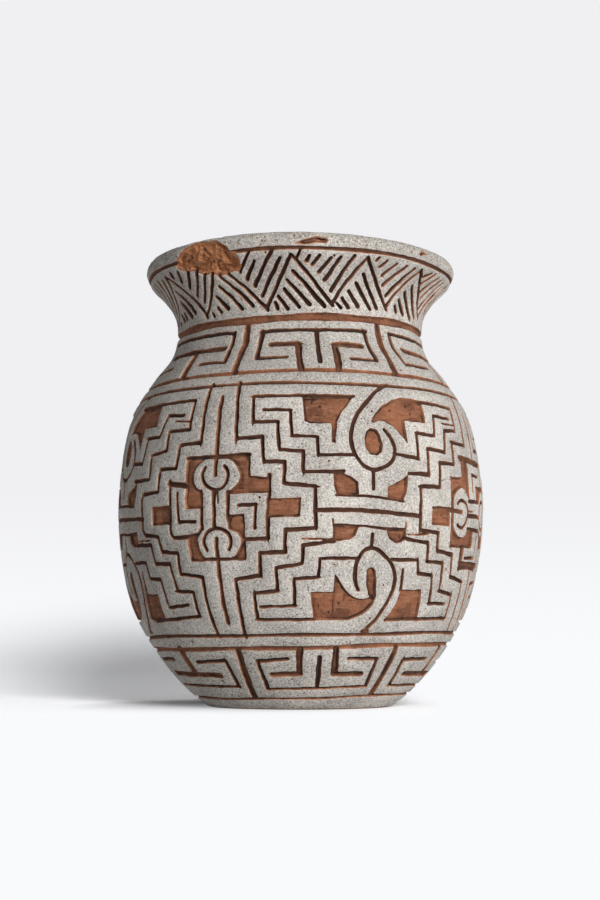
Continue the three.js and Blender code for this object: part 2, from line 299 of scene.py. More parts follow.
denting = {
    "reach": 0.5,  # how far round a dent it is worked out, in millimetres
    "step": 0.8,  # between the places along a crack that get points of the mesh
    "ring": 6,  # points round each such place
}


def dented(points, radius, depth):
    # a pit at one point, or a crack along more, pressed into whatever floor is there
    window, x, y, middle = windowOn(points, radius + denting["reach"])
    path = flattened(points, middle)
    path = path * 2 if len(path) == 1 else path
    bowl = np.clip(-lineDistance(x, y, path, [radius] * len(path)) / radius, 0, 1)
    dent[window] = np.maximum(dent[window], depth * bowl * (2 - bowl))
    for start, end in zip(path, path[1:]):
        count = 1 + int(math.dist(start, end) / denting["step"])
        for k in range(count):
            across, length = np.array(start) + (np.array(end) - start) * k / count
            turns = [2 * math.pi / denting["ring"] * i for i in range(denting["ring"])]
            for reach, turn in [(0, 0)] + [(radius, turn) for turn in turns]:
                aside = (across + reach * math.cos(turn)) / (float(radiusAt(length)) * degree)
                dentSpots.append((middle + aside, length + reach * math.sin(turn)))


def holeOutline(angle, height, halfAngle, halfHeight):
    turns = np.linspace(0, 2 * math.pi, 8, endpoint=False)
    return [(angle + halfAngle * math.cos(t), height + halfHeight * math.sin(t)) for t in turns]


# Rings between the bands: height, lean, sag, width
rings = [
    (220.5, 0.3, 0, 1.9), (190.5, 0.8, 0.8, 3.7), (161.1, 0.3, 0, 2.4), (154.6, 0.3, 0, 1.9),
    (35.9, 1.2, 0, 1.9), (30, 1.5, 0, 2.4), (5.7, 1, 0, 1.9),
]
for height, lean, sag, width in rings:
    carveRing(height, lean, sag, width)

# Angles that the fields are centred on. Upright and lying figures take turns, with scrolls between them
fields = {
    "upright": [-25, 154.6],
    "lying": [66.3, -115.8],
    "scroll": [20.8, 110.3, -160.7, -70.2],
}

# Figure fields. Angles are counted from the middle of the field
steppedEdges = {
    "uprightLeft": [
        (-5.2, 155.6), (-5.7, 126.5), (-13.6, 126), (-14.3, 114.8), (-20.9, 115), (-21.4, 104.2),
        (-28.7, 103.7), (-29.6, 102), (-29.8, 86.5), (-28.6, 84), (-21.8, 82.5), (-20.9, 75.5),
        (-14.1, 74.5), (-13.9, 64.5), (-5.7, 63), (-4.5, 34.6),
    ],
    "uprightRight": [
        (4.8, 155.6), (5.9, 127.2), (13.9, 128), (14.5, 116), (20.7, 115.8), (20.5, 105.8),
        (29.3, 104.2), (29.5, 85), (20.9, 84), (20.7, 74), (13.2, 73.5), (13.4, 63.2), (5.5, 61.5),
        (5.9, 34.8),
    ],
    "lyingLeft": [
        (-3.1, 155.6), (-4.1, 129), (-12.4, 129.7), (-12.7, 118.5), (-19.9, 118.5), (-20.8, 106.5),
        (-28.8, 106), (-29.1, 85.3), (-21.3, 84.3), (-21.1, 75.9), (-13.5, 74.4), (-12.4, 64),
        (-4.1, 61.9), (-1, 35.8),
    ],
    "lyingRight": [
        (4.9, 155.6), (5.6, 128.3), (13.7, 128.8), (14.1, 117.2), (20.9, 117), (21, 106.6),
        (28.9, 105.2),
        (29.3, 85.6), (21.1, 84.8), (20.6, 75.2), (13.4, 74), (13, 63), (5.4, 61.2), (5.6, 35.6),
    ],
}
# The figure: a shaft with a forked head at each end, left standing in two areas that were cut out round it
figureOutline = [
    (-4.2, 94), (-4.3, 102), (-4.7, 103.3), (-6.1, 104.8), (-7, 107), (-7.3, 109.5), (-7, 112.3),
    (-6.4, 114.5),
    (-5.2, 116.6), (-3.8, 118), (3.6, 118), (5.4, 116.6), (6.6, 114), (7.5, 111.5), (7.8, 109.6),
    (7.4, 107.2),
    (6.2, 104.9), (4.7, 102.8), (4, 101), (4, 94), (4.1, 87.5), (4.6, 85), (5.2, 83.9), (6.7, 83),
    (7.8, 80.8),
    (7.9, 78.4), (7.1, 75.3), (6.1, 72.8), (4.8, 71.7), (-3.9, 71.8), (-4.9, 73.4), (-5.7, 76.8),
    (-6.1, 80),
    (-5.6, 82.4), (-4.7, 84.6), (-4.2, 87.5),
]
figureAreas = [
    [(-10.3, 119.4), (10.6, 119.8), (10.8, 109.4), (16.5, 108.7), (16.7, 101.3), (4.2, 101.3),
     (-3.4, 98.5),
     (-4.4, 95), (-9.8, 95), (-10.3, 100), (-9.9, 104.5), (-10.4, 108)],
    [(-9.9, 81.5), (-9.2, 70.2), (9.2, 70.2), (9.4, 80), (9, 91.6), (4.6, 91.6), (3.6, 85), (-4, 83.2)],
]
figureLines = [  # points, width, curved
    ([(-3.6, 114.2), (-4.4, 110.5), (-3.6, 107.3), (-1.6, 104.4), (0.4, 103.4), (2, 104),
      (3.4, 106.7), (4, 110),
      (3.4, 113), (2.7, 114.4)], 1.7, True),
    ([(-4.5, 103), (-4.4, 85.4)], 2, False),
    ([(-0.4, 103.5), (-0.3, 85.2)], 2.1, False),
    ([(4, 102), (4.1, 90), (4.7, 85.4)], 1.9, False),
    ([(0.9, 102.8), (1, 97)], 0.8, False),
    ([(16.3, 109.5), (16.3, 101), (15.8, 90), (15.9, 80.2), (9.3, 79.8)], 1.9, False),
    ([(7.3, 95.8), (12.3, 96), (12.1, 85)], 1.6, False),
    ([(-16.6, 107.6), (-10.4, 106.2)], 2.5, False),
    ([(-16.3, 108.6), (-15.9, 95), (-16.1, 84), (-15.2, 81.6), (-9, 81.8), (-5.8, 82.8),
      (-4.6, 85.6)], 1.9,
     False),
    ([(-13.2, 103), (-12.7, 88.9), (-6.7, 88.7)], 1.6, False),
    ([(-3.2, 75.2), (-4, 79), (-3.1, 82.6), (-1.2, 84.7), (2.3, 84.8), (4.4, 82), (4.8, 79),
      (4, 75.2)], 1.8,
     True),
    ([(-10.3, 119.3), (10.5, 119.6)], 1.4, False),
    ([(8.6, 81), (8.4, 78), (7.3, 74), (6.6, 72.4)], 1, True),
]
sideSquares = [
    [(15.6, 90), (25.1, 90.3), (25.3, 99), (15.5, 98.7)],
    [(-24.3, 88.2), (-16.1, 88), (-16.2, 97.2), (-24.2, 97)],
]
uprightBars = [[(-0.2, 148.5), (0, 110.5)], [(0.2, 80.5), (0.7, 41.3)]]
lyingBars = [
    [(1.4, 145.7), (2.1, 123.3)], [(1.1, 69.7), (4.2, 44)], [(-9.3, 122.7), (13.7, 121.5)],
    [(-8.3, 80.6), (-8.3, 70.7), (9.7, 70.8)], [(-16.1, 95.7), (-9.6, 95.7)],
]
lyingMiddle = 95  # height that a figure is turned about
turnedDegree = 1.632  # millimetres that a degree becomes when a figure is turned


def shifted(points, middle):
    return [(angle + middle, height) for angle, height in points]


def laidDown(points):
    return [
        ((lyingMiddle - height) / turnedDegree, lyingMiddle + angle * turnedDegree)
        for angle, height in points
    ]


def carveFigure(middle, lying):
    turn = laidDown if lying else list
    kind = "lying" if lying else "upright"
    for side in ("Left", "Right"):
        carveLine(shifted(steppedEdges[kind + side], middle), 1.9)
    for outline in figureAreas:
        carveArea(shifted(turn(outline), middle), keep=[shifted(turn(figureOutline), middle)])
    for points, width, curved in figureLines:
        carveLine(shifted(turn(points), middle), width, 1.7, curved)
    for square in sideSquares:
        carveArea(shifted(square, middle))
    for points in lyingBars if lying else uprightBars:
        carveLine(shifted(points, middle), 2.2, dirt=0.55)


# Scroll fields, as angles from the middle of the field: lines with their widths, spirals and cut-out areas
scrollLines = [
    ([(-4, 148), (-35.3, 147.8), (-35, 135.2), (-27.4, 135.2), (-26.8, 121.6), (-19.9, 121),
      (-19.8, 111),
      (-8.3, 111.5)], 1.7),
    ([(-31.8, 141), (-23.8, 140.8), (-23.2, 128.2), (-15.8, 127.8), (-15.6, 119), (-4.9, 119.5)], 1.5),
    ([(0.5, 112.7), (0.6, 103.6)], 1.7),
    ([(-10.5, 100.4), (-4, 100.2), (4.9, 99.4), (10.2, 98.4)], 1.2),
    ([(-15.8, 93.2), (-5.8, 93.6), (2.2, 93), (16.1, 91.8)], 2),
    ([(-11.3, 86.5), (-3.5, 86.2), (4.2, 85.2), (11, 85.5)], 1.2),
    ([(0.4, 82.6), (0.2, 76)], 1.7),
    ([(11.4, 66.2), (11.6, 57)], 1.6),
    ([(-16.3, 43), (-34.7, 42.8), (-34.7, 55), (-27.6, 56), (-27.8, 66.8), (-20.1, 68.5), (-20, 77),
      (-11, 79)], 1.7),
    ([(-33.1, 48.6), (-22.4, 49.3), (-22.6, 61.5), (-15.3, 62.3), (-15.1, 71), (-4, 71.2)], 1.5),
]
scrollRight = {  # the right side was drawn in two ways
    "close": [
        ([(20.1, 147.8), (36.5, 147), (36.2, 135.5), (29.7, 135), (28.7, 124), (20.6, 124.7),
          (20.3, 112.2),
          (12.4, 111.8)], 1.8),
        ([(33.3, 141.3), (25.3, 141.5), (24.4, 131.5), (16.9, 132), (16.5, 119.3), (7.8, 121)], 1.7),
        ([(8.2, 43), (36.9, 44), (36, 55.5), (28.3, 56.8), (27.8, 70.5), (20.6, 70.5), (20.1, 79.3),
          (11.9, 80.8)], 1.8),
        ([(33.1, 51), (24.9, 50.8), (23.3, 64.3), (17.4, 64.8), (16.7, 71), (6.9, 71)], 1.7),
    ],
    "wide": [
        ([(7.2, 148), (35, 148), (34.7, 133.5), (26, 133.2), (26, 124), (19.2, 122.7), (19.2, 110.8),
          (10.2, 111)], 1.8),
        ([(31.4, 140.7), (24.5, 141.5), (21.7, 131.3), (15.7, 131.5), (14.2, 119.3), (7.8, 120)], 1.7),
        ([(11.2, 42.5), (35.5, 44.5), (35.2, 56), (28.7, 56.5), (27.2, 69.5), (20.2, 70), (19.2, 79),
          (10.2, 79.5)], 1.8),
        ([(31.9, 50), (22.7, 49), (21.7, 62.5), (15.7, 63), (14.7, 70.8), (7, 71)], 1.7),
    ],
}
scrollRightAreas = {
    "close": [
        [(1, 136), (2.4, 140), (5.6, 144.5), (9.2, 147.5), (12.8, 148.8), (16.9, 149), (20, 148.3),
         (21, 147),
         (21, 137.3), (12.7, 137.3), (12.8, 126.5), (11.5, 129), (9.7, 132), (7.8, 134.5), (5.6, 136),
         (3.3, 136.3), (1.5, 135.3)],
        [(11.5, 57), (19.7, 57.3), (20.6, 52.5), (21.2, 43.3), (8.3, 42.5), (7.8, 43.5), (9.2, 46),
         (10.8, 51)],
    ],
    "wide": [
        [(1, 136), (2.4, 140), (5.6, 144.5), (9.2, 147.3), (19.7, 147.8), (19.4, 137), (12.3, 137),
         (11, 126), (9.4, 131), (7.4, 134.5), (5.6, 136), (3.3, 136.3), (1.5, 135.3)],
        [(11, 61), (12, 55.8), (18.2, 55.5), (18.4, 43.2), (9.5, 42.8), (7.6, 44), (9.3, 51)],
    ],
}
scrollCurls = [
    [(9.2, 155), (7.4, 154), (3.7, 150.7), (1, 147), (-1.7, 142.5), (-4, 137.5), (-5.3, 132),
     (-5.8, 126),
     (-4.9, 120.5), (-3.5, 116.5), (-1.7, 113.7), (0.6, 112.7), (3.3, 113.5), (5.6, 115.5), (7.4, 118.5),
     (8.1, 122), (7.6, 126), (6.5, 129.5), (5.1, 132.2)],
    [(1, 36.8), (2.2, 39.3), (4.2, 42.5), (5.6, 46), (6.9, 50), (8.3, 55), (9, 60), (8.7, 64),
     (7.8, 67.5),
     (6.2, 70.5), (4.2, 73.3), (2.2, 75.3), (-0.3, 76), (-2.2, 74.5), (-3.5, 71.5), (-4.2, 68),
     (-4.4, 64),
     (-4.1, 60), (-3, 56.5)],
]
scrollAreas = [
    [(0.4, 133), (2.2, 132.3), (3.6, 129.5), (4.2, 125), (3.8, 121.5), (2.2, 119.3), (0, 120),
     (-1.4, 122.5),
     (-1.7, 127), (-0.9, 131)],
    [(-20, 147), (-4, 148), (-5.3, 145.5), (-8.1, 140), (-9.9, 135), (-10.3, 125), (-11.5, 125.5),
     (-11.5, 134.3), (-18, 134), (-19.4, 135.5)],
    [(-11.3, 111), (-8.5, 110.7), (-6.3, 109.5), (-4.2, 106.8), (-4, 100.6), (-10.3, 100.3),
     (-11.1, 105)],
    [(12.2, 111), (9.2, 108), (6.9, 106.5), (5.1, 105), (5, 99.8), (10.2, 98.3), (11.6, 104)],
    [(-11.4, 86.5), (-4, 86), (-4.3, 84), (-4.9, 81.6), (-6.5, 79.8), (-9.5, 79), (-11.4, 79.2)],
    [(4.9, 85.3), (11.4, 85.4), (11.6, 80.6), (9.5, 78.8), (7.6, 78.6), (5.7, 80.6), (5, 84)],
    [(-0.9, 66), (-0.1, 67), (1.1, 67), (2.1, 65.5), (2.6, 60), (3.1, 53.4), (1.3, 53.2), (0.4, 54.6),
     (-0.6, 59)],
    [(-10.6, 63.8), (-9, 61), (-7.4, 57.5), (-5.8, 55), (-4, 53.3), (-0.8, 52.5), (3.1, 54), (2.4, 50),
     (0.6, 46.5), (-1.7, 44.5), (-4.9, 43), (-8.1, 42.5), (-16.3, 42.6), (-16.7, 44.5), (-17.6, 55.5),
     (-10.8, 55.5)],
    [(-0.6, 37), (1.9, 40.6), (3.2, 36.6)],
]


def carveScroll(middle, right):
    for points, width in scrollLines + scrollRight[right]:
        carveLine(shifted(points, middle), width, 1.7)
    for points in scrollCurls:
        carveLine(shifted(points, middle), 1.9, curved=True, shake=0.1)
    for points in scrollAreas + scrollRightAreas[right]:
        carveArea(shifted(points, middle))


for middle in fields["upright"]:
    carveFigure(middle, lying=False)
for middle in fields["lying"]:
    carveFigure(middle, lying=True)
for i, middle in enumerate(fields["scroll"]):
    carveScroll(middle, "wide" if i % 2 else "close")
print("figures and scrolls drawn")

# Key bands: six panels each, hooks and tees in turn, as angles from the middle of the panel
keys = {
    "upperMiddles": [6.3, 66, 126, -174, -114, -53],
    "lowerMiddles": [7.1, 67.6, 127, -173.5, -113.7, -54],
    "upperCuts": [(-23.3, 188, 162), (35.8, 189.5, 162), (96, 189, 162), (156, 189, 162),
                  (-144, 188.5, 162), (-83.5, 188.5, 162)],
    "lowerCuts": [(-23.4, 28.6, 6.1), (37.6, 29.9, 7.3), (97.3, 30.5, 7.1), (156.5, 29.6, 6.6),
                  (-143.5, 28.1, 6), (-84, 27.6, 5.5)],
}
upperHooks = [
    ([(-23.2, 182.9), (23, 184)], 1.9),
    ([(-22.6, 183), (-22.6, 168.2), (-11.3, 168.5)], 2.4),
    ([(22.1, 184), (23.2, 168.3), (13.2, 168.2)], 2.4),
    ([(0.8, 183.2), (0.9, 166)], 2.3),
    ([(-17.9, 175.8), (-7.2, 176), (-6, 162.2)], 3.2),
    ([(19, 176), (7.8, 176), (7.4, 162.2)], 3.4),
]
upperTee = [
    ([(-23.9, 184.5), (23.3, 183.5)], 2),
    ([(-23.9, 184.5), (-22.8, 168.2), (-7, 168.7)], 2.4),
    ([(23.3, 183.5), (23.8, 167.5), (11.7, 168)], 2.4),
    ([(-17.8, 176.4), (20.4, 175.3)], 3.3),
]
lowerHooks = [
    ([(-22.1, 10), (24.7, 11.3)], 1.8),
    ([(-22.1, 10), (-23.7, 23.5), (-12.1, 24.5)], 2.2),
    ([(24.2, 12), (23.7, 24.5), (11.6, 24.7)], 2.2),
    ([(0.3, 25.5), (0.5, 12)], 2.3),
    ([(-7.3, 29.2), (-7.3, 17.4), (-18.9, 17.2)], 3.2),
    ([(5.9, 29.4), (7.1, 17.5), (18.7, 17.3)], 3.2),
]
lowerTee = [
    ([(-22.3, 11.5), (24.8, 11)], 1.8),
    ([(-21.8, 11.5), (-23.3, 24.2), (-7.3, 24.2)], 2.2),
    ([(24.8, 11), (23.7, 23.5), (8.2, 22.8)], 2.2),
    ([(-17.3, 17.2), (17.2, 16.4)], 3.3),
]
keyDepth = 1.5
keyRows = (  # panels, their middles, and each tee's stem: top, bottom and where it stands
    (upperHooks, upperTee, keys["upperMiddles"], (175, 162.6), [0, 1.5, 5.4]),
    (lowerHooks, lowerTee, keys["lowerMiddles"], (28.9, 17.5), [-0.2, 1, 2.7]),
)
for hooks, tee, middles, (stemTop, stemFoot), stems in keyRows:
    for i, middle in enumerate(middles):
        for points, width in tee if i % 2 else hooks:
            carveLine(shifted(points, middle), width, keyDepth, dirt=1 if width < 2.5 else 0.5)
        if i % 2:
            stem = [(stems[i // 2] - 0.3, stemTop), (stems[i // 2] + 0.3, stemFoot)]
            carveLine(shifted(stem, middle), 4.6, keyDepth, dirt=0.25)
for angle, high, low in keys["upperCuts"] + keys["lowerCuts"]:
    carveLine([(angle, high), (angle - 0.1, low)], 3.4, keyDepth, dirt=0.5)

# Hatched band: where the zigzag turns, then the strokes inside its teeth. Those that the camera sees are set
# one by one, and the rest follow in rows
teeth = {
    "lows": [(-46.8, 194.5), (-14.7, 194.7), (13.7, 196.7), (40.9, 197.7), (70.2, 198.4), (100.6, 196.5),
             (130.4, 195.5), (160.7, 195), (190.3, 195), (220.6, 194.5), (251, 194), (281.5, 194)],
    "highs": [(-34.5, 217), (-3.2, 217.8), (24.8, 218), (51.8, 217.5), (82.4, 217.5), (112.3, 217.3),
              (142.2, 217.8), (172.6, 217.3), (202.1, 217), (232.6, 217), (263.5, 216.5),
              (296.2, 216.5)],
    "standingPitch": 5.1,
    "hangingPitch": 4.6,
    "margin": 3.6,
    "setByHand": (-68, 79),  # angles between which the strokes are set one by one
}
hatchStrokes = [  # from, to, width
    (-58.4, 217.1, -59.5, 215.4, 2.1), (-53.5, 216.8, -56, 212.3, 1.8), (-48.3, 215.3, -53.2, 209, 1.9),
    (-43, 215.6, -50.7, 205, 1.9), (-41, 212.8, -47.4, 201.3, 1.9), (-65, 210, -55.2, 197.5, 2),
    (-66.3, 204.8, -58.6, 196, 2.2), (-66.6, 199.5, -64.3, 196, 2), (-34.2, 211.2, -21, 196.2, 2.1),
    (-36, 207, -26.4, 195.2, 2.1), (-39.2, 202.5, -33.6, 196.2, 2.4), (-39.5, 197.7, -37.6, 194.8, 2.1),
    (-43, 195.4, -41.7, 193.4, 1.5), (-18.4, 219.6, -24.3, 211.5, 1.6), (-17, 216, -22.1, 208.4, 2),
    (-10, 220, -19.2, 205.4, 2.2), (-7.2, 216.4, -16.7, 200.7, 2.1), (-2.8, 211, 10.7, 195.4, 2.3),
    (-5.4, 207.4, 4.3, 196, 2.1), (-6.5, 203.2, -0.5, 195, 2.2), (-9.4, 200.2, -5.4, 194.3, 2.1),
    (-11.1, 197.5, -9.7, 194, 1.9), (0.1, 219.4, -1.2, 216.2, 1.4), (3.4, 217.4, 2.3, 215, 2),
    (6.9, 217.5, 4.5, 213.7, 1.9), (11.1, 216.6, 7.5, 210.7, 2), (14.7, 217.2, 10, 207.5, 2.2),
    (19.6, 218.2, 13.1, 202.8, 2.2), (25.4, 211.3, 35.6, 196.6, 2), (23.3, 207.2, 32.1, 195.6, 2.1),
    (20.9, 203.2, 25.8, 196.4, 2.4), (18.3, 199.7, 21.3, 195.6, 2.2), (16, 196.9, 17.9, 195, 1.6),
    (29.2, 218.4, 28.6, 217.2, 2), (33, 217.7, 31.2, 215.1, 2.2), (37.8, 217.2, 34.1, 211.8, 2),
    (43, 217.1, 36.2, 207.7, 2.3), (47.7, 217, 39.8, 203.3, 2.3), (52.8, 210.4, 65, 197, 2.1),
    (50.5, 206.7, 60, 195.5, 2.1), (48.5, 202.7, 53.3, 196.4, 2.2), (46.9, 199.2, 47.9, 196.7, 2.1),
    (59, 217.4, 56.3, 215.5, 2.2), (62.1, 217.9, 58.4, 212.6, 2.1), (66.6, 217.2, 61.6, 209.6, 2.1),
    (70.3, 216.7, 65.1, 207, 2), (74.1, 216.5, 69, 203.2, 2.1), (77.6, 215.6, 73.4, 204.5, 2),
]
for angle, height, nextAngle, nextHeight, width in hatchStrokes:
    # strokes far round to the sides are cut wider and get more painted shade, where they turn from the light
    aside = abs(angle) > 45
    wide = width * (1.15 if aside else 1)
    dirt = 1.5 if aside else 0.95
    carveLine([(angle, height), (nextAngle, nextHeight)], wide * 0.85, 1.9, widthEnd=wide, dirt=dirt)
lows, highs = teeth["lows"], teeth["highs"]
rowStrokes = []
for i, (low, high) in enumerate(zip(lows, highs)):
    nextLow = lows[i + 1] if i + 1 < len(lows) else (lows[0][0] + 360, lows[0][1])
    nextHigh = highs[i + 1] if i + 1 < len(highs) else (highs[0][0] + 360, highs[0][1])
    carveLine([low, high], 1.9, dirt=0.9)
    carveLine([high, (nextLow[0] + 0.6, nextLow[1] - 1)], 1.9, dirt=0.9)
    rise = high[1] - low[1]
    for k in range(1, 6):
        shift = teeth["standingPitch"] * k + rng.uniform(-0.4, 0.4)
        up = 1 - (shift + teeth["margin"]) / (nextLow[0] - low[0])
        if up > 0.06:
            start = (high[0] - shift + (nextLow[0] - high[0]) * (1 - up), low[1] + rise * up)
            rowStrokes.append((start, (nextLow[0] - shift, nextLow[1] + rng.uniform(-0.8, 1.2))))
        shift = teeth["hangingPitch"] * k + rng.uniform(-0.4, 0.4)
        up = (shift + teeth["margin"] + 1) / (nextHigh[0] - high[0])
        if up < 0.94:
            end = (nextLow[0] - shift + (nextHigh[0] - nextLow[0]) * up, nextLow[1] + rise * up)
            rowStrokes.append(((nextHigh[0] - shift, nextHigh[1] + rng.uniform(-0.8, 0.6)), end))
first, last = teeth["setByHand"]
for start, end in rowStrokes:
    around = ((start[0] + end[0]) / 2 + 180) % 360 - 180
    if not first < around < last:
        carveLine([start, end], 2, 1.9, widthEnd=2.3, dirt=1.4)
print("key bands and hatching drawn")

# Stray scratches, and chips that broke away with their clay
scratches = [
    [(-42, 138.3), (-36, 137.3)], [(50, 138.3), (56.8, 138.5)], [(0.7, 80), (9.5, 80)],
    [(33, 82.8), (40.8, 83.5)], [(9.3, 89), (9.5, 86)], [(32, 88.5), (32, 85)],
    [(-60, 81.2), (-51.5, 81.4)], [(120, 140), (127, 139)], [(-150, 60), (-143, 61)],
]
for points in scratches:
    carveLine(points, 0.9, 0.9)
bigChip = [
    (-52.2, 218.3), (-51.6, 220.2), (-50.4, 222.2), (-47.8, 224.2), (-45, 226), (-41.5, 227.3),
    (-37, 227.9), (-33, 227.6), (-30.2, 226.4), (-28.4, 224.7), (-26.4, 223.1), (-25.4, 221),
    (-23.4, 219), (-22.2, 216.5), (-22.6, 214), (-24.6, 212.4), (-28, 212.3), (-31.5, 211.6),
    (-34.5, 211.3), (-36.6, 212.2), (-39.5, 212.5), (-42.5, 214), (-44.6, 215.4), (-47.5, 215.2),
    (-49.6, 216.4), (-51.5, 217),
]
broken = {"fresh": 1, "trench": 0, "dirt": 0}
carveArea(bigChip, depth=1.7, shake=0.6, run=1.3, **broken)
smallChips = [
    [(-2, 222.6), (-0.6, 223.6), (1.2, 224.8), (3.4, 225.6), (6.4, 226), (8.8, 225.6), (9.7, 224.2),
     (8.6, 222.9), (5, 222.6), (1.5, 222.3)],
    [(46.7, 224.6), (47.6, 223.4), (48.7, 223.1), (49.4, 224.1), (51.6, 224.7), (50.2, 226.2),
     (48, 225.8)],
    [(122, 224), (125, 226.5), (131, 226), (132, 223.5)],
    [(-139, 226.5), (-133, 227.5), (-131, 225.5), (-136, 224.6)],
]
for points in smallChips:
    carveArea(points, depth=0.8, shake=0.4, run=0.8, fresh=0.12, trench=0.6, dirt=0.3)
chipCracks = [
    [(-37.8, 226.5), (-36.8, 224.3), (-35.9, 221.3), (-34.9, 220.2)],
    [(-37.6, 212.6), (-36.9, 215), (-36, 216)], [(-34.8, 216.4), (-33.6, 217)],
    [(-33, 216), (-31.5, 216.2)], [(-34, 213), (-33, 215.4)],
    [(-49.5, 218), (-47.8, 219), (-45.5, 219.4)], [(-31, 226.4), (-28.8, 224.4), (-27.6, 222.6)],
    [(-28.4, 220.5), (-27.4, 216.4)], [(-41.7, 220.6), (-41.5, 220)], [(-45.5, 215.6), (-43.5, 215.4)],
    [(-40.5, 222), (-39.4, 223.2)], [(-29.4, 214.4), (-27, 213.7)], [(6, 225.2), (8.6, 224.8)],
]
for points in chipCracks:
    dented(points, 0.5, 1.2)
floorCracks = [
    [(10.2, 61), (10.4, 54), (10.1, 44)], [(11.5, 47.5), (13.2, 47.2)], [(5.5, 49.5), (5.9, 47)],
    [(6.8, 45.6), (8.6, 45.3)], [(13.6, 54), (15.2, 53.6)], [(31, 53), (33, 52.6)],
    [(8.2, 109), (8.6, 104)], [(16.2, 82.5), (16.8, 80)], [(-18, 104), (-16.5, 103.8)],
    [(4.5, 138.4), (7.8, 138)],
]
for points in floorCracks:
    dented(points, 0.32, 0.6)

# Cracks and pits strewn by chance: how many, their angles, heights, radii and depths
strewn = {
    "chipCracks": (34, (-51, -24), (212, 226), (0.25, 0.4), (0.5, 1)),
    "chipPits": (60, (-52, -23), (212, 227), (0.35, 0.6), (0.4, 0.9)),
    "wallCracks": (300, (-180, 180), (38, 150), (0.3, 0.45), (0.3, 0.65)),
    "wallPits": (420, (-180, 180), (30, 160), (0.4, 0.8), (0.3, 0.8)),
}
uprightShare = 0.4  # of the cracks in the wall


def chipCrackEnd(angle, height):
    return angle + rng.uniform(-2.2, 2.2), height + rng.uniform(-1.6, 1.6)


def wallCrackEnd(angle, height):
    # most run round the pot and the rest up it
    upright = rng.uniform() < uprightShare
    far = rng.uniform(1.5, 5)
    if upright:
        return angle + rng.uniform(-0.5, 0.5), height + far
    return angle + far * 0.65, height + rng.uniform(-1, 1)


def strew(kind, endOf=None):
    # endOf gives the other end of a crack, and a pit has none
    count, angles, heights, radii, depths = strewn[kind]
    for _ in range(count):
        start = (rng.uniform(*angles), rng.uniform(*heights))
        points = [start, endOf(*start)] if endOf else [start]
        dented(points, rng.uniform(*radii), rng.uniform(*depths))


strew("chipCracks", chipCrackEnd)
seenPits = [
    (6.7, 225.2), (6, 143), (3.5, 145), (35.5, 145.5), (36.5, 141.3), (29, 142.5), (47, 93), (52, 91.5),
    (20.5, 60), (9, 46), (12, 50), (30.5, 81),
]
for place in seenPits:
    dented([place], 0.8, 0.9)
strew("chipPits")
strew("wallCracks", wallCrackEnd)
strew("wallPits")

# Holes through the slip: the ones that show, then more by chance
slipHoles = [
    (-21.5, 223.6), (-17.6, 223.2), (-57, 223.7), (-25.4, 224.3), (43.6, 225), (-13.1, 224.4),
    (-2, 226.6), (60.5, 221.4), (-63, 222), (5.2, 193.3), (-12.3, 218.8), (12.3, 217.6),
]
hole = {
    "count": 90,
    "heights": (8, 227),
    "clear": 1.3,  # least distance to a cut
    "radius": (0.38, 0.58),
}
while len(slipHoles) < hole["count"]:
    angle, height = rng.uniform(-180, 180), rng.uniform(*hole["heights"])
    row = int(lengthAt(height) / wholeLength * (rows - 1))
    if away[row, int((angle + 180) * columns / 360) % columns] > hole["clear"]:
        slipHoles.append((angle, height))
for angle, height in slipHoles:
    size = rng.uniform(*hole["radius"])
    wide = size / (float(radiusAt(lengthAt(height))) * degree)
    outline = holeOutline(angle, height, wide, size)
    # the holes' floors are darkened: dirt and painted shade
    carveArea(outline, depth=1.6, shake=0.1, run=0.25, trench=0, dirt=1.5)
    dentSpots.append((angle, float(lengthAt(height))))

# The foot and the inside of the neck were left bare
bareEdges = [
    rowLength - pot["bareFoot"],
    wholeLength - pot["bareNeck"] - rowLength,
]
for edge in bareEdges:
    pressed(..., np.repeat(edge[:, None], columns, axis=1), {"depth": pot["skin"], "trench": 0})

# The edges fray a little, the depths of cuts that meet run into each other, and the floors are uneven
edgeShift = 0.13  # how far outside its drawn line each edge of a cut lies
away += 0.12 * softNoise(2.4, 1) + 0.1 * softNoise(1.1, 2) - edgeShift
for _ in range(3):
    floor = layers["depth"]
    around = (np.roll(floor, 1, 1) + np.roll(floor, -1, 1)) / 4 + floor / 2
    layers["depth"] = (np.roll(around, 1, 0) + np.roll(around, -1, 0)) / 4 + around / 2
lumps = 0.14 * softNoise(4, 3) + 0.1 * softNoise(1.8, 4)
toolMarks = 0.3 * softNoise(1.5, 9, 6) + 0.26 * softNoise(9, 10, 0.16)  # across and upright
rough = 0.8 * softNoise(7, 5) + 0.6 * softNoise(3, 6) + 0.5 * softNoise(1.6, 12)
slipLumps = 0.08 * softNoise(9, 7) + 0.06 * softNoise(3.5, 8)


def sampled(field, angles, lengths):
    y = np.clip(lengths / wholeLength * (rows - 1), 0, rows - 1.001)
    x = (angles + 180) / 360 * columns
    y0, x0 = y.astype(int), np.floor(x).astype(int)
    fy, fx = y - y0, x - x0
    left, right = x0 % columns, (x0 + 1) % columns
    low = field[y0, left] * (1 - fx) + field[y0, right] * fx
    high = field[y0 + 1, left] * (1 - fx) + field[y0 + 1, right] * fx
    return low * (1 - fy) + high * fy


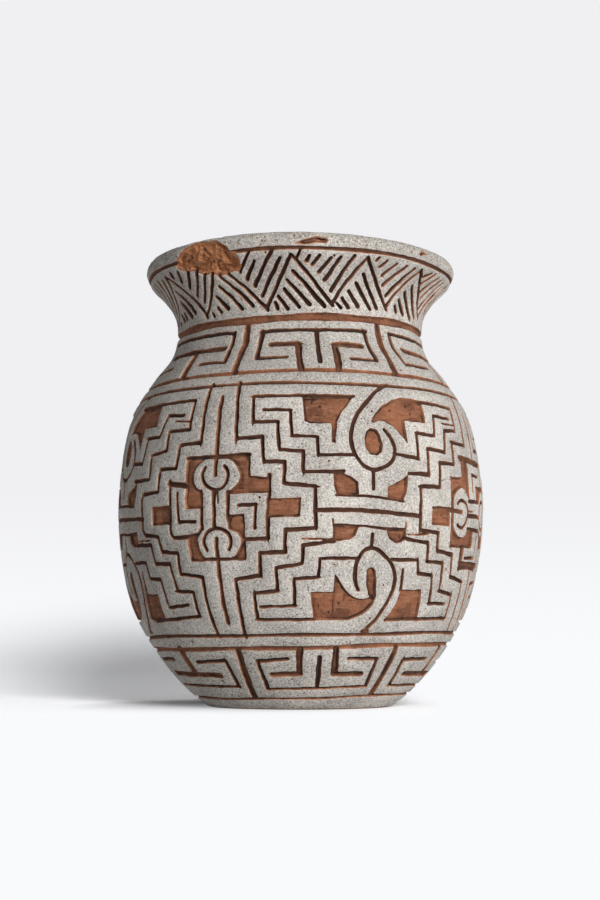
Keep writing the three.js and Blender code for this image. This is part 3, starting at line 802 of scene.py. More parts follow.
# Edges of the cuts, traced as lines on the unrolled wall so that the mesh follows them
flatDegree = 1.5  # millimetres to a degree on the flat sheet
seam = 180 * flatDegree
meshing = {  # in millimetres
    "edge": 0.05,  # how far the slip's edge may lie off its traced line
    "underEdge": 0.08,  # the same for the clay, under the slip's edge
    "footLevels": (-0.42, -0.8, -1.4),  # distances inside a cut where the clay has lines of its own
    "foot": 0.1,
    "shoulderLevel": 0.32,  # how far from a cut the slip is rounded
    "shoulder": 0.08,
    "longest": 2.6,  # side of a triangle along an edge
    "seamStep": 2.2,
    "leastChain": 5,  # a trace of this many points or fewer is left out
    "crumb": 8,  # an island of fewer triangles is left out
    "slipPoints": (2.6, 1.5, 99),  # loose points: spacing, least and most distance to a cut
    "floorPoints": (1, -99, -1.7),
    "underPoints": (5, 2, 99),
}


def tracedEdges(level):
    field = np.hstack([away, away[:, :1]]) - level
    field[field == 0] = 1e-6
    up = field > 0
    acrossId = np.full((rows, columns), -1)
    downId = np.full((rows - 1, columns + 1), -1)
    row, column = np.where(up[:, :-1] != up[:, 1:])
    share = field[row, column] / (field[row, column] - field[row, column + 1])
    acrossId[row, column] = np.arange(len(row))
    spots = [np.stack([column + share, row], 1)]
    first = len(row)
    row, column = np.where(up[:-1] != up[1:])
    share = field[row, column] / (field[row, column] - field[row + 1, column])
    downId[row, column] = first + np.arange(len(row))
    spots.append(np.stack([column, row + share], 1))
    spots = np.concatenate(spots)
    cells = np.stack([acrossId[:-1], downId[:, 1:], acrossId[1:], downId[:, :-1]], -1).reshape(-1, 4)
    met = (cells >= 0).sum(1)
    plain = cells[met == 2]
    crossed = cells[met == 4]
    links = [plain[plain >= 0].reshape(-1, 2), crossed[:, :2], crossed[:, 2:]]
    beside = [[] for _ in range(len(spots))]
    for a, b in np.concatenate(links).tolist():
        beside[a].append(b)
        beside[b].append(a)
    spots = spots * [360 / columns * flatDegree, wholeLength / (rows - 1)] - [seam, 0]
    seen = [False] * len(spots)
    order = [i for i, near in enumerate(beside) if len(near) == 1] + list(range(len(spots)))
    chains = []
    for start in order:
        if seen[start]:
            continue
        chain, here = [start], start
        seen[start] = True
        while True:
            onward = [i for i in beside[here] if not seen[i]]
            if not onward:
                break
            here = onward[0]
            seen[here] = True
            chain.append(here)
        if len(chain) > 2 and chain[0] in beside[chain[-1]]:
            chain.append(chain[0])
        if len(chain) > meshing["leastChain"]:
            chains.append(spots[chain])
    return chains


def thinned(chain, tolerance):
    # keeps only the points that the edge's shape needs
    keep = np.zeros(len(chain), bool)
    keep[[0, -1]] = True
    spans = [(0, len(chain) - 1)]
    if np.allclose(chain[0], chain[-1]):
        far = int(np.argmax(np.hypot(*(chain - chain[0]).T)))
        keep[far] = True
        spans = [(0, far), (far, len(chain) - 1)]
    while spans:
        a, b = spans.pop()
        if b - a < 2:
            continue
        line = chain[b] - chain[a]
        reach = max(float(np.hypot(*line)), 1e-9)
        off = chain[a + 1 : b] - chain[a]
        bow = np.abs(off[:, 0] * line[1] - off[:, 1] * line[0]) / reach
        far = int(np.argmax(bow))
        if bow[far] < tolerance and reach < meshing["longest"]:
            continue
        if bow[far] < tolerance:
            far = (b - a) // 2 - 1
        keep[a + 1 + far] = True
        spans += [(a, a + 1 + far), (a + 1 + far, b)]
    return chain[keep]


def scattered(spacing, least, most):
    # loose points where the distance to a cut lies between least and most
    found = []
    for length in np.arange(spacing / 2, wholeLength - spacing / 3, spacing * 0.87):
        count = int(2 * math.pi * radiusAt(length) / spacing)
        angles = -180 + 360 * (np.arange(count) + 0.5 + rng.uniform(-0.3, 0.3, count)) / count
        lengths = length + rng.uniform(-0.25, 0.25, count) * spacing
        distance = sampled(away, angles, lengths)
        kept = (distance > least) & (distance < most)
        found.append(np.stack([angles[kept] * flatDegree, lengths[kept]], 1))
    return np.concatenate(found)


def meshedSheet(chains, loose):
    # one sheet of triangles over the unrolled wall that keeps every traced edge
    rim = np.linspace(-seam, seam, 241)
    ends = [chain[k] for chain in chains for k in (0, -1) if abs(chain[k][0]) > seam - 1e-6]
    marks = sorted({round(float(y), 4) for _, y in ends} | {0.0, round(float(wholeLength), 4)})
    upSeam = [marks[0]]
    for mark in marks[1:]:
        count = max(1, int((mark - upSeam[-1]) / meshing["seamStep"]))
        upSeam += np.linspace(upSeam[-1], mark, count + 1)[1:].tolist()
    points = [np.stack([rim, np.zeros(len(rim))], 1), np.stack([rim, np.full(len(rim), wholeLength)], 1)]
    points += [np.stack([np.full(len(upSeam), x), upSeam], 1) for x in (-seam, seam)]
    points += [loose]
    edges = []
    first = sum(len(group) for group in points)
    for chain in chains:
        chain = chain.copy()
        onSeam = np.abs(chain[:, 0]) > seam - 1e-6
        chain[onSeam, 1] = np.round(chain[onSeam, 1], 4)
        points.append(chain)
        edges += [(first + i, first + i + 1) for i in range(len(chain) - 1)]
        first += len(chain)
    spots = [Vector(spot) for spot in np.concatenate(points).tolist()]
    placed, _, faces, *_ = delaunay_2d_cdt(spots, edges, [], 0, 2e-3, False)
    placed = np.array([spot[:] for spot in placed])
    faces = np.array(faces)
    left = {round(float(placed[i, 1]), 2): i for i in np.where(placed[:, 0] < -seam + 1e-3)[0]}
    joined = np.arange(len(placed))
    for i in np.where(placed[:, 0] > seam - 1e-3)[0]:
        joined[i] = left.get(round(float(placed[i, 1]), 2), i)
    middles = placed[faces].mean(1)
    return placed, joined[faces], middles


def onPot(angles, lengths, heights):
    # from the unrolled wall to the round one, which is a little uneven as hand work is
    radius = np.interp(lengths, profileLength, profile[:, 0])
    height = np.interp(lengths, profileLength, profile[:, 1])
    slopeR = np.interp(lengths, profileLength, profileSlope[:, 0])
    slopeZ = np.interp(lengths, profileLength, profileSlope[:, 1])
    turn = angles * degree
    grown = np.clip(height / 40, 0, 1)
    radius = radius + grown * (
        0.35 * np.sin(2 * turn + 0.8)
        + 0.25 * np.sin(3 * turn + height / 30)
        + 0.15 * np.sin(5 * turn + height / 17)
    )
    height = height + np.clip((height - 195) / 30, 0, 1) * (0.45 * np.sin(2 * turn + 2.4) - 0.45)
    radius, height = radius + slopeZ * heights, height - slopeR * heights
    return np.stack([radius * np.sin(turn), -radius * np.cos(turn), np.maximum(height, 0)], 1) * mm


edgeLines = [thinned(chain, meshing["edge"]) for chain in tracedEdges(0)]
footLines = [
    thinned(chain, meshing["foot"]) for level in meshing["footLevels"] for chain in tracedEdges(level)
]
shoulderLines = [thinned(chain, meshing["shoulder"]) for chain in tracedEdges(meshing["shoulderLevel"])]
print("edges traced,", sum(map(len, edgeLines)), "points on the slip's edge")


def newPiece(name, points, faces, values):
    mesh = bpy.data.meshes.new(name)
    used, corners = np.unique(faces, return_inverse=True)
    corners = corners.reshape(faces.shape)
    mesh.vertices.add(len(used))
    mesh.vertices.foreach_set("co", points[used].ravel())
    mesh.loops.add(corners.size)
    mesh.loops.foreach_set("vertex_index", corners.ravel())
    mesh.polygons.add(len(corners))
    mesh.polygons.foreach_set("loop_start", np.arange(0, corners.size, 3))
    for label, value in values.items():
        layer = mesh.attributes.new(label, "FLOAT", "POINT")
        layer.data.foreach_set("value", value[used])
    mesh.update(calc_edges=True)
    mesh.validate()
    piece = bpy.data.objects.new(name, mesh)
    bpy.context.collection.objects.link(piece)
    return piece


def chooseOnly(piece):
    bpy.ops.object.select_all(action="DESELECT")
    piece.select_set(True)
    bpy.context.view_layer.objects.active = piece


def readLayer(mesh, label):
    values = np.empty(len(mesh.vertices), np.float32)
    mesh.attributes[label].data.foreach_get("value", values)
    return values


def cornersOf(mesh):
    vertices = np.empty(len(mesh.loops), np.int32)
    mesh.loops.foreach_get("vertex_index", vertices)
    counts = np.empty(len(mesh.polygons), np.int32)
    mesh.polygons.foreach_get("loop_total", counts)
    return vertices, np.repeat(np.arange(len(counts)), counts)


def layOut(piece, middle, span, tall):
    # the bake's map: across it runs round the pot, and tall gives the height of each corner
    mesh = piece.data
    vertices, face = cornersOf(mesh)
    spots = np.empty(len(mesh.vertices) * 3, np.float32)
    mesh.vertices.foreach_get("co", spots)
    spots = spots.reshape(-1, 3)
    centres = np.zeros((len(mesh.polygons), 2))
    np.add.at(centres, face, spots[vertices, :2])
    faceAngle = np.arctan2(centres[:, 0], -centres[:, 1]) / degree
    fromMiddle = (faceAngle - middle + 180) % 360 - 180
    cornerAngle = np.arctan2(spots[vertices, 0], -spots[vertices, 1]) / degree
    wide = fromMiddle[face] + (cornerAngle - faceAngle[face] + 180) % 360 - 180
    layer = mesh.uv_layers.new(name="OFBake")
    places = np.stack([np.clip(wide / span + 0.5, 0, 1), np.clip(tall, 0, 1)], 1).astype(np.float32)
    layer.data.foreach_set("uv", places.ravel())


# Slip: the parts of the wall that no cut touched, shared out between the frame's coats
slipChains = edgeLines + shoulderLines
placed, faces, middles = meshedSheet(slipChains, scattered(*meshing["slipPoints"]))
slipFaces = sampled(away, middles[:, 0] / flatDegree, middles[:, 1]) > 0
faces, middles = faces[slipFaces], middles[slipFaces]
angles, lengths = placed[:, 0] / flatDegree, placed[:, 1]
distance = np.maximum(sampled(away, angles, lengths), 0)
rounding = np.clip(1 - distance / meshing["shoulderLevel"], 0, 1) ** 2
heights = sampled(slipLumps, angles, lengths) - 0.12 * rounding
slipPoints = onPot(angles, lengths, heights)
print("slip meshed,", len(faces), "triangles")


def looseParts(faces):
    # a number for each face that is the same for all faces joined through their edges
    sides = np.concatenate([faces[:, [0, 1]], faces[:, [1, 2]], faces[:, [2, 0]]])
    sides.sort(axis=1)
    owner = np.tile(np.arange(len(faces)), 3)
    order = np.lexsort((sides[:, 1], sides[:, 0]))
    sides, owner = sides[order], owner[order]
    same = (sides[1:] == sides[:-1]).all(1)
    pairs = np.stack([owner[:-1][same], owner[1:][same]], 1)
    label = np.arange(len(faces))
    while True:
        low = np.minimum(label[pairs[:, 0]], label[pairs[:, 1]])
        before = label.copy()
        np.minimum.at(label, pairs[:, 0], low)
        np.minimum.at(label, pairs[:, 1], low)
        label = label[label]
        if (before == label).all():
            return label


def nearestCoats(points):
    corners, triangles, owners = [], [], []
    for index, name in enumerate(coatNames):
        mesh = nodes[name].data
        mesh.calc_loop_triangles()
        first = len(corners)
        corners += [vertex.co.copy() for vertex in mesh.vertices]
        triangles += [[first + i for i in triangle.vertices] for triangle in mesh.loop_triangles]
        owners += [index] * len(mesh.loop_triangles)
    tree = BVHTree.FromPolygons(corners, triangles)
    return np.array([owners[tree.find_nearest(Vector(point))[2]] for point in points.tolist()])


parts = looseParts(faces)
faceCoat = np.full(len(faces), -1)
flatFace = onPot(middles[:, 0] / flatDegree, middles[:, 1], np.zeros(len(middles)))
for part in np.unique(parts):
    mine = np.where(parts == part)[0]
    if len(mine) < meshing["crumb"]:
        continue
    probe = mine[:: max(1, len(mine) // 60)]
    faceCoat[mine] = np.bincount(nearestCoats(flatFace[probe]), minlength=len(coatNames)).argmax()
print("coats found:", len(np.unique(faceCoat[faceCoat >= 0])), "of", len(coatNames))


def finished(piece, sharpest=35):
    chooseOnly(piece)
    bpy.ops.object.shade_smooth_by_angle(angle=math.radians(sharpest))
    for label in ("along", "around"):
        if label in piece.data.attributes:
            piece.data.attributes.remove(piece.data.attributes[label])


slipPieces = {}
for index, name in enumerate(coatNames):
    mine = faces[faceCoat == index]
    values = {"wearAndHighlight": distance, "along": lengths, "around": angles}
    piece = newPiece(name + "_slip", slipPoints, mine, values)
    seenFaces = len(piece.data.polygons)
    chooseOnly(piece)
    shell = piece.modifiers.new("thickness", "SOLIDIFY")
    shell.thickness = pot["slip"] * mm
    shell.offset = -1
    bpy.ops.object.modifier_apply(modifier=shell.name)
    around, along = readLayer(piece.data, "around"), readLayer(piece.data, "along")
    turn = around * degree
    middle = math.atan2(np.sin(turn).mean(), np.cos(turn).mean()) / degree
    width = 2.04 * np.abs((around - middle + 180) % 360 - 180).max()
    if width > 300:
        middle, width = 0, 360
    vertices, face = cornersOf(piece.data)
    share = (along - along.min()) / np.ptp(along)
    tall = np.where(face < seenFaces, 0.06 + 0.94 * share[vertices], 0.04 * share[vertices])
    layOut(piece, middle, width, tall)
    finished(piece)
    slipPieces[name] = piece
print("slip plates made:", len(slipPieces))

# Clay body: the carved wall, then the inside and the foot drawn out of its two rims
dentSpots = np.array(dentSpots)
inFloor = sampled(away, dentSpots[:, 0], dentSpots[:, 1]) < -0.2
dentSpots = dentSpots[inFloor & (np.abs(dentSpots[:, 0]) < 179)]
clayInside = {  # radius, height of each ring
    "wall": [
        (57.4, 186), (58.7, 180), (63.6, 170), (70.7, 160), (78, 150), (82.2, 140), (85.2, 125),
        (86.8, 100), (84.8, 75), (81.2, 60), (75.7, 45), (65.8, 30), (57.6, 20), (54, 14.5),
        (50.8, 11.4), (46, 10.1), (30, 9.8), (14, 10.1),
    ],
    "foot": [(45.4, 0), (41, 0), (37, 0.5), (20, 0.6)],
}
placed, faces, middles = meshedSheet(
    [thinned(chain, meshing["underEdge"]) for chain in edgeLines] + footLines,
    np.concatenate([
        scattered(*meshing["floorPoints"]),
        scattered(*meshing["underPoints"]),
        dentSpots * [flatDegree, 1],
    ]),
)
angles, lengths = placed[:, 0] / flatDegree, placed[:, 1]
distance = sampled(away, angles, lengths)
here = {name: sampled(field, angles, lengths) for name, field in layers.items()}
reached = np.clip(-distance / here["run"], 0, 1)
reached = reached * reached * (3 - 2 * reached)
cutDepth = here["depth"] - pot["skin"]
uneven = sampled(lumps, angles, lengths) + here["trench"] * sampled(toolMarks, angles, lengths)
uneven *= cutDepth > 0.1
uneven += here["fresh"] * sampled(rough, angles, lengths) + sampled(dent, angles, lengths)
trenchShape = {"deep": 0.5, "inside": 0.75, "wide": 0.45}  # how deep, how far from the edge and how wide
fromTrench = (-distance - trenchShape["inside"]) / trenchShape["wide"]
sunk = trenchShape["deep"] * here["trench"] * np.exp(-(fromTrench ** 2))
# the sunk edge also gets painted shade along it, through the dark layer
edgeDirtAndShade = sunk * np.clip(1 + 1.6 * sampled(rough, angles, lengths), 0.2, 2.2)
heights = -pot["skin"] - reached * (cutDepth + uneven + sunk)
clayPoints = onPot(angles, lengths, np.minimum(heights, -0.1))
# pits and cracks in a cut's floor get painted shade through the dark layer
inCut = distance < -0.3
values = {
    "fresh": here["fresh"] * reached,
    "dirt": here["dirt"] * reached + edgeDirtAndShade + 1.2 * sampled(dent, angles, lengths) * inCut,
    "cut": np.clip(-heights, 0, 3),
    "along": lengths,
    "around": angles,
}
clayPiece = newPiece("clay_body_carved", clayPoints, faces, values)
wallVertices = len(clayPiece.data.vertices)
print("clay wall meshed,", len(faces), "triangles")


def drawnOut(piece, wanted, rings):
    # extrudes one rim ring by ring and closes it in the middle
    rim = np.array([vertex.co[:] for vertex, picked in zip(piece.data.vertices, wanted) if picked]) / mm
    radius, height = float(np.hypot(rim[:, 0], rim[:, 1]).mean()), float(rim[:, 2].min())
    chooseOnly(piece)
    for vertex, picked in zip(piece.data.vertices, wanted):
        vertex.select = bool(picked)
    bpy.ops.object.mode_set(mode="EDIT")
    bpy.ops.mesh.select_mode(type="EDGE")
    for nextRadius, nextHeight in rings:
        bpy.ops.mesh.extrude_region_move(
            TRANSFORM_OT_translate={"value": (0, 0, (nextHeight - height) * mm)}
        )
        scale = nextRadius / radius
        bpy.ops.transform.resize(value=(scale, scale, 1), center_override=(0, 0, 0))
        radius, height = nextRadius, nextHeight
    bpy.ops.mesh.extrude_region_move(TRANSFORM_OT_translate={"value": (0, 0, 0)})
    bpy.ops.mesh.merge(type="CENTER")
    bpy.ops.object.mode_set(mode="OBJECT")


def clearSelection(piece):
    chooseOnly(piece)
    bpy.ops.object.mode_set(mode="EDIT")
    bpy.ops.mesh.select_mode(type="VERT")
    bpy.ops.mesh.select_all(action="DESELECT")
    bpy.ops.object.mode_set(mode="OBJECT")


clearSelection(clayPiece)
along = readLayer(clayPiece.data, "along")
drawnOut(clayPiece, along > wholeLength - 1e-3, clayInside["wall"])
clearSelection(clayPiece)
along = readLayer(clayPiece.data, "along")
footRim = (along < 1e-3) & (np.arange(len(along)) < wallVertices)
drawnOut(clayPiece, footRim, clayInside["foot"])
mesh = clayPiece.data
spots = np.empty(len(mesh.vertices) * 3, np.float32)
mesh.vertices.foreach_get("co", spots)
spots = spots.reshape(-1, 3) / mm
spread = np.hypot(spots[:, 0], spots[:, 1])
vertices, face = cornersOf(mesh)
added = np.zeros(len(mesh.polygons), bool)
np.logical_or.at(added, face, vertices >= wallVertices)
faceHeight = np.bincount(face, spots[vertices, 2]) / np.bincount(face)
along = np.clip(readLayer(mesh, "along") / wholeLength, 0, 1)
# the map has the foot's underside lowest, then the inside, then the carved wall
inner = 0.06 + 0.16 * (0.75 * np.clip(spots[:, 2] / 190, 0, 1) + 0.25 * np.clip(spread / 50, 0, 1))
under = 0.05 * np.clip(spread / 50, 0, 1)
drawnRows = np.where(faceHeight[face] > 5, inner[vertices], under[vertices])
tall = np.where(added[face], drawnRows, 0.23 + 0.77 * along[vertices])
layOut(clayPiece, 0, 360, tall)
finished(clayPiece, 40)
print("clay body closed,", len(mesh.polygons), "faces")


# Materials
def tone(red, green, blue):
    # a colour as seen on a screen, 0 to 255, for the shader
    return tuple(((value / 255 + 0.055) / 1.055) ** 2.4 for value in (red, green, blue)) + (1,)


class Wire:
    # a socket that plain arithmetic works on
    def __init__(self, tree, socket=None):
        self.tree = tree
        self.socket = socket

    def node(self, kind, settings=None, inputs=None, output=0):
        made = self.tree.nodes.new(kind)
        for name, value in (settings or {}).items():
            setattr(made, name, value)
        for name, value in (inputs or {}).items():
            if isinstance(value, Wire):
                self.tree.links.new(value.socket, made.inputs[name])
            else:
                made.inputs[name].default_value = value
        return Wire(self.tree, made.outputs[output] if len(made.outputs) else None)

    def maths(self, operation, *values):
        return self.node("ShaderNodeMath", {"operation": operation}, dict(enumerate(values)))

    def __add__(self, other):
        return self.maths("ADD", self, other)

    def __sub__(self, other):
        return self.maths("SUBTRACT", self, other)

    def __rsub__(self, other):
        return self.maths("SUBTRACT", other, self)

    def __mul__(self, other):
        return self.maths("MULTIPLY", self, other)

    __radd__ = __add__
    __rmul__ = __mul__

    def clamped(self):
        return self.node("ShaderNodeClamp", inputs={"Value": self})

    def between(self, low, high):
        # 0 below low, 1 above high, and soft between
        settings = {"interpolation_type": "SMOOTHSTEP"}
        inputs = {"Value": self, "From Min": low, "From Max": high}
        return self.node("ShaderNodeMapRange", settings, inputs)

    def mixed(self, share, other):
        # from this colour to the other
        settings = {"data_type": "RGBA"}
        return self.node("ShaderNodeMix", settings, {0: share, 6: self, 7: other}, 2)


def newMaterial(name, roughness):
    material = bpy.data.materials.new(name)
    material.use_nodes = True
    tree = material.node_tree
    shader = next(node for node in tree.nodes if node.type == "BSDF_PRINCIPLED")
    shader.inputs["Roughness"].default_value = roughness
    start = Wire(tree)
    place = start.node("ShaderNodeTexCoord", output="Object")
    return material, shader, start, place


def noise(place, size, detail, roughness=0.6):
    # size is in millimetres
    inputs = {"Vector": place, "Scale": 1 / (size * mm), "Detail": detail, "Roughness": roughness}
    return place.node("ShaderNodeTexNoise", inputs=inputs)


def axisOf(place, letter):
    return place.node("ShaderNodeSeparateXYZ", inputs={"Vector": place}, output=letter)


def carried(start, name):
    # a value that the piece carries at each of its points
    return start.node("ShaderNodeAttribute", {"attribute_name": name}, output="Fac")


def above(up, heights):
    # 0 under the first height in millimetres, 1 over the second
    return up.between(heights[0] * mm, heights[1] * mm)


def blended(start, share, first, second):
    return start.node("ShaderNodeMix", {"data_type": "RGBA"}, {0: share, 6: first, 7: second}, 2)


def connect(shader, body, relief, reliefDepth):
    # the colour and the fine relief go to the shader, and reliefDepth is in millimetres
    inputs = {"Strength": 0.85, "Distance": reliefDepth * mm, "Height": relief}
    bump = body.node("ShaderNodeBump", inputs=inputs)
    body.tree.links.new(body.socket, shader.inputs["Base Color"])
    body.tree.links.new(bump.socket, shader.inputs["Normal"])


slipLook = {
    "pale": tone(218, 211, 202),
    "grey": tone(184, 178, 170),
    "dark": tone(96, 89, 80),
    "light": tone(248, 244, 238),
    "pit": tone(66, 56, 48),
    "stain": tone(140, 122, 98),
    "through": tone(150, 108, 84),
    "roughness": 0.88,
    "grain": 0.85,  # sizes in millimetres
    "specks": 0.65,
    "pits": 1.7,
    "holes": 2.3,
    "relief": 0.7,
    "greyer": (140, 172),  # heights between which the greyer band of painted shade sets in
    "paler": (187, 199),
    "footBand": (30, 40),
    "lipBand": (220, 225),
}


def makeSlip():
    material, shader, start, place = newMaterial("white_slip", slipLook["roughness"])
    wearAndHighlight = carried(start, "wearAndHighlight")
    up = axisOf(place, "Z")
    # high is a greyer band over the shoulder and the upper key band: painted shade
    high = above(up, slipLook["greyer"]) - 0.9 * above(up, slipLook["paler"])
    low, lip = 1 - above(up, slipLook["footBand"]), above(up, slipLook["lipBand"])
    body = blended(start, noise(place, 30, 4).between(0.38, 0.62), slipLook["grey"], slipLook["pale"])
    body = body.mixed(noise(place, 5, 4, 0.7).between(0.46, 0.68) * 0.5 + high * 0.55, slipLook["grey"])
    body = body.mixed(lip * noise(place, 4, 5, 0.75).between(0.46, 0.62) * 0.5, slipLook["stain"])
    grain = noise(place, slipLook["grain"], 3, 0.8)
    specks = noise(place, slipLook["specks"], 2, 0.7)
    body = body.mixed((1 - grain).between(0.51, 0.64) * 0.5, slipLook["dark"])
    body = body.mixed(grain.between(0.51, 0.62) * 0.58, slipLook["light"])
    body = body.mixed(specks.between(0.58, 0.66) * 0.6, slipLook["dark"])
    pitted = (1 - noise(place, slipLook["pits"], 3, 0.75)).between(0.53, 0.64)
    body = body.mixed(pitted * (low + lip).clamped() * 0.5, slipLook["dark"])
    inputs = {"Vector": place, "Scale": 1 / (slipLook["holes"] * mm)}
    dots = start.node("ShaderNodeTexVoronoi", inputs=inputs, output="Distance")
    worn = noise(place, 9, 4, 0.7).between(0.42, 0.6)
    holes = (1 - dots.between(0.1, 0.26)) * (0.25 + worn + lip * 0.4).clamped()
    body = body.mixed(holes * 0.85, slipLook["pit"])
    # a lighter rim along the slip's edge: partly rubbed wear, partly a painted highlight
    rim = 1 - wearAndHighlight.between(0.02, 0.34)
    body = body.mixed(rim * 0.32, slipLook["light"])
    stain = (1 - wearAndHighlight.between(0.1, 1.1)) * noise(place, 2.4, 3, 0.7).between(0.5, 0.68)
    body = body.mixed(stain * 0.4, slipLook["through"])
    thin = noise(place, 10, 5, 0.72).between(0.66, 0.74) * specks.between(0.42, 0.6)
    body = body.mixed(thin * 0.55, slipLook["through"])
    relief = grain + noise(place, 3.2, 3) * 0.9 + specks * 0.5
    connect(shader, body, relief, slipLook["relief"])
    return material


clayLook = {
    "red": tone(168, 108, 75),
    "brown": tone(124, 77, 51),
    "deep": tone(78, 43, 26),
    "dustAndHighlight": tone(204, 154, 120),
    "fresh": tone(214, 147, 99),
    "freshDark": tone(172, 107, 66),
    # dark colour deep in the cuts: soot and painted shade
    "sootAndShade": tone(33, 19, 12),
    "roughness": 0.92,
    "grain": 1.2,  # sizes in millimetres
    "streaks": 7,
    "relief": 0.8,
}


def makeClay():
    material, shader, start, place = newMaterial("fired_clay", clayLook["roughness"])
    fresh, dirt, cut = [carried(start, name) for name in ("fresh", "dirt", "cut")]
    body = blended(start, noise(place, 14, 4, 0.65).between(0.36, 0.62), clayLook["brown"], clayLook["red"])
    grain = noise(place, clayLook["grain"], 4, 0.78)
    flat = start.node("ShaderNodeMapping", inputs={"Vector": place, "Scale": (1, 1, 4)})
    streaks = noise(flat, clayLook["streaks"], 4, 0.7)
    body = body.mixed(streaks.between(0.52, 0.66) * 0.35, clayLook["dustAndHighlight"])
    body = body.mixed((1 - streaks).between(0.52, 0.66) * 0.5, clayLook["deep"])
    body = body.mixed(grain.between(0.54, 0.7) * 0.4, clayLook["dustAndHighlight"])
    body = body.mixed((1 - grain).between(0.54, 0.7) * 0.5, clayLook["deep"])
    # lighter rims near the top of every cut's wall: partly rubbed dust, partly a painted highlight for the
    # lit wall
    rubbedDustAndHighlight = (1 - cut.between(0.4, 0.95)) * noise(place, 3, 3, 0.7).between(0.3, 0.62)
    body = body.mixed(rubbedDustAndHighlight * (0.6 - 0.4 * dirt).clamped(), clayLook["dustAndHighlight"])
    # darker with the cut's depth: painted shade in the recess, stronger where there is dirt
    body = body.mixed(cut.between(0.38, 0.95) * (0.15 + 0.75 * dirt).clamped(), clayLook["deep"])
    # near black deep in the darker cuts: partly soot, partly painted shade
    body = body.mixed((dirt * cut.between(0.5, 1.2)).between(0.25, 1.15) * 0.92, clayLook["sootAndShade"])
    patches = noise(place, 4, 5, 0.75).between(0.38, 0.62)
    newClay = blended(start, patches, clayLook["freshDark"], clayLook["fresh"])
    newClay = newClay.mixed((1 - grain).between(0.53, 0.64) * 0.65, clayLook["brown"])
    # painted shade in the chip's deepest cracks and pits
    newClay = newClay.mixed(cut.between(2.3, 3.2) * 0.7, clayLook["deep"])
    body = body.mixed(fresh.between(0.1, 0.45), newClay)
    relief = grain + noise(place, 4.5, 3) * 0.9 + noise(place, 1.7, 4, 0.7) * fresh * 2.6
    connect(shader, body, relief, clayLook["relief"])
    return material


slipMaterial, clayMaterial = makeSlip(), makeClay()
for name, piece in slipPieces.items():
    piece.data.materials.append(slipMaterial)
    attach(piece, "root")
    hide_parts(name)
clayPiece.data.materials.append(clayMaterial)
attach(clayPiece, "root")
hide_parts("clay_body")
print("materials on")

# Studio: a pale floor that curves up behind the pot, a soft key from the right and the light of a pale room.
# The floor has a key of its own, softer and more from the front, which throws the pot's shadow. A third
# lamp lights the pot from behind
studio = {
    "floorSize": 8,
    "flatBehind": 0.2,  # where the floor starts to curve up
    "curve": 1.0,
    "curveSteps": 24,
    "backHeight": 2,
    "bounce": tone(205, 205, 206),
    "shownFloor": tuple(1.73 * value for value in tone(249, 250, 252)[:3]) + (1,),
    "shownRise": tuple(1.46 * value for value in tone(249, 250, 252)[:3]) + (1,),
    "low": tone(249, 250, 252),
    "high": tone(240, 240, 242),
    "riseFade": (0.01, 0.2),  # heights and distances over which the floor turns into the backdrop
    "farFade": (1.2, 3.2),
    "shadowFade": (0.37, 0.63),  # distances over which the shadow dies away
    "shadowFront": (-0.15, 0.08),  # it is faded out by place, not by light, towards the front
    "shadowRight": (0.055, 0.085),  # and towards the right, where the floor has to stay pale
    "closedReach": 0.055,  # of the painted shade under the foot
    "closedLean": {"X": 0.3, "Y": -0.6, "Z": 0.74},
    "closedShare": (1.2, 0.9),  # its strength at the left, and what it loses towards the right
    "closedAcross": (-0.02, 0.06),
    "firstRise": (0, 0.02),  # heights over which the floor starts to turn into the rise
    "worldLight": (0.11, 0.24),  # from the left, from the right
    "worldAcross": (-0.9, 0.7),  # directions between which it changes
    "lamps": [  # name, place, aimed at, size, watts, what it lights
        ("key", (0.78, -1.24, 0.42), (0, 0, 0.11), 0.36, 18.8, "pot"),
        ("back", (0.2, 1.43, 0.45), (0, 0, 0.11), 0.8, 14, "pot"),
        ("floorKey", (0.78, -2.71, 1.03), (0, 0, 0), 1.05, 89, "floor"),
    ],
}


def seenDirectly(start):
    # 1 for what the camera sees, also in gloss and through glass
    paths = [start.node("ShaderNodeLightPath", output=f"Is {kind} Ray")
             for kind in ("Camera", "Glossy", "Transmission")]
    return (paths[0] + paths[1] + paths[2]).clamped()


def makeFloorMaterial():
    # the camera sees a bright floor with the pot's shadow, which fades into an even backdrop
    material, shader, start, place = newMaterial("floor", 0.95)
    shader.inputs["Base Color"].default_value = studio["bounce"]
    across, deep, height = [axisOf(place, letter) for letter in "XYZ"]
    distance = start.node("ShaderNodeVectorMath", {"operation": "LENGTH"}, {0: place}, "Value")
    far = (height.between(*studio["riseFade"]) + distance.between(*studio["farFade"])).clamped()
    even = blended(start, far, studio["low"], studio["high"])
    plain = start.node("ShaderNodeEmission", inputs={"Color": even, "Strength": 1})
    leaned = start.node("ShaderNodeCombineXYZ", inputs=studio["closedLean"])
    inputs = {"Distance": studio["closedReach"], "Normal": leaned}
    closed = 1 - start.node("ShaderNodeAmbientOcclusion", {"samples": 8}, inputs, "AO")
    strength, lost = studio["closedShare"]
    closed = closed * (strength - lost * across.between(*studio["closedAcross"]))
    onRise = height.between(*studio["firstRise"])
    rising = blended(start, onRise, studio["shownFloor"], studio["shownRise"])
    # painted shade: the floor's colour goes dark where the pot closes it in
    under = rising.mixed(closed.clamped(), (0, 0, 0, 1))
    lit = start.node("ShaderNodeBsdfDiffuse", inputs={"Color": under})
    front = 1 - deep.between(*studio["shadowFront"])
    right = across.between(*studio["shadowRight"])
    fade = (distance.between(*studio["shadowFade"]) + front + right).clamped()
    shown = start.node("ShaderNodeMixShader", inputs={0: fade, 1: lit, 2: plain})
    bounce = Wire(start.tree, shader.outputs["BSDF"])
    whole = start.node("ShaderNodeMixShader", inputs={0: seenDirectly(start), 1: bounce, 2: shown})
    start.tree.links.new(whole.socket, start.tree.nodes["Material Output"].inputs["Surface"])
    return material


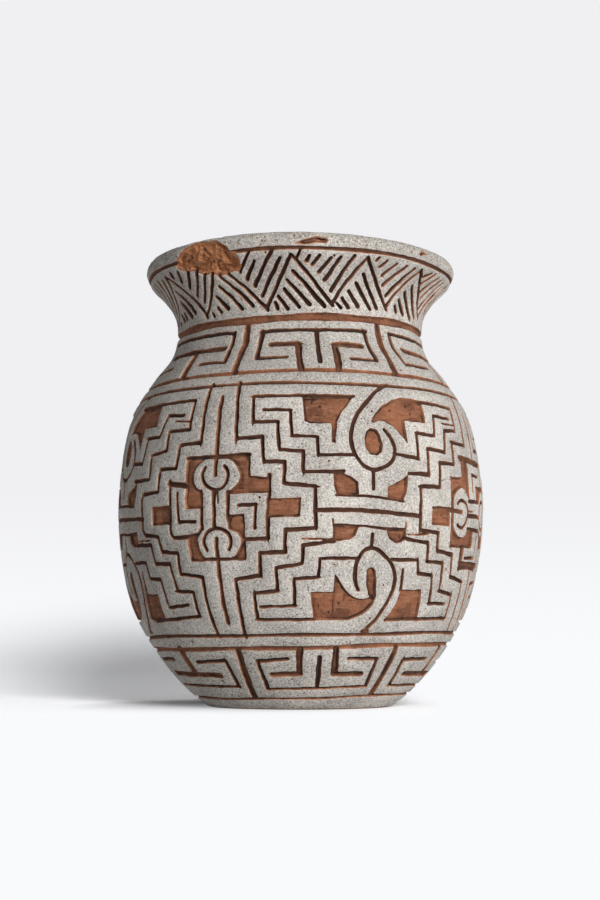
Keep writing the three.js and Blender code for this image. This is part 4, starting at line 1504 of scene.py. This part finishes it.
def makeFloor():
    bpy.ops.object.select_all(action="DESELECT")
    half = studio["floorSize"] / 2
    bpy.ops.mesh.primitive_plane_add(size=2 * half, location=(0, studio["flatBehind"] - half, 0))
    floor = bpy.context.object
    floor.name = "floor"
    bpy.ops.object.transform_apply(location=True)
    clearSelection(floor)
    for vertex in floor.data.vertices:
        vertex.select = vertex.co.y > studio["flatBehind"] - 0.001
    bpy.ops.object.mode_set(mode="EDIT")
    bpy.ops.mesh.select_mode(type="EDGE")
    steps = studio["curveSteps"]
    for k in range(steps):
        turn, turnNext = math.pi / 2 * k / steps, math.pi / 2 * (k + 1) / steps
        move = (
            0,
            studio["curve"] * (math.sin(turnNext) - math.sin(turn)),
            studio["curve"] * (math.cos(turn) - math.cos(turnNext)),
        )
        bpy.ops.mesh.extrude_region_move(TRANSFORM_OT_translate={"value": move})
    bpy.ops.mesh.extrude_region_move(TRANSFORM_OT_translate={"value": (0, 0, studio["backHeight"])})
    bpy.ops.object.mode_set(mode="OBJECT")
    bpy.ops.object.shade_smooth()
    floor.data.materials.append(makeFloorMaterial())
    return floor


def makeWorld():
    world = bpy.data.worlds.new("studio")
    bpy.context.scene.world = world
    world.use_nodes = True
    world.node_tree.nodes.clear()
    start = Wire(world.node_tree)
    direction = start.node("ShaderNodeTexCoord", output="Generated")
    fromRight = axisOf(direction, "X").between(*studio["worldAcross"])
    left, right = studio["worldLight"]
    strength = left + (right - left) * fromRight
    soft = start.node("ShaderNodeBackground", inputs={"Color": (1, 1, 1, 1), "Strength": strength})
    shown = start.node("ShaderNodeBackground", inputs={"Color": studio["high"], "Strength": 1})
    both = start.node("ShaderNodeMixShader", inputs={0: seenDirectly(start), 1: soft, 2: shown})
    start.node("ShaderNodeOutputWorld", inputs={"Surface": both})


litPieces = {"pot": [clayPiece, *slipPieces.values()], "floor": [makeFloor()]}
makeWorld()
for name, place, target, size, watts, lit in studio["lamps"]:
    lamp = bpy.data.lights.new(name, "AREA")
    lamp.shape = "DISK"
    lamp.size = size
    lamp.energy = watts
    holder = bpy.data.objects.new(name, lamp)
    bpy.context.collection.objects.link(holder)
    holder.location = place
    aim = Vector(target) - Vector(place)
    holder.rotation_euler = aim.to_track_quat("-Z", "Y").to_euler()
    receivers = bpy.data.collections.new(name + "Receivers")
    for piece in litPieces[lit]:
        receivers.objects.link(piece)
    holder.light_linking.receiver_collection = receivers

view = {"place": (0, -0.849, 0.033), "pitch": 6.66, "lens": 65.5, "sensor": 36, "clip": (0.01, 50)}
lens = bpy.data.cameras.new("camera")
lens.lens = view["lens"]
lens.sensor_width = view["sensor"]
camera = bpy.data.objects.new("camera", lens)
bpy.context.collection.objects.link(camera)
camera.location = view["place"]
camera.rotation_euler = (math.radians(90 + view["pitch"]), 0, 0)
lens.clip_start, lens.clip_end = view["clip"]
bpy.context.scene.camera = camera
bpy.context.scene.view_settings.view_transform = "Standard"

print("scene ready")
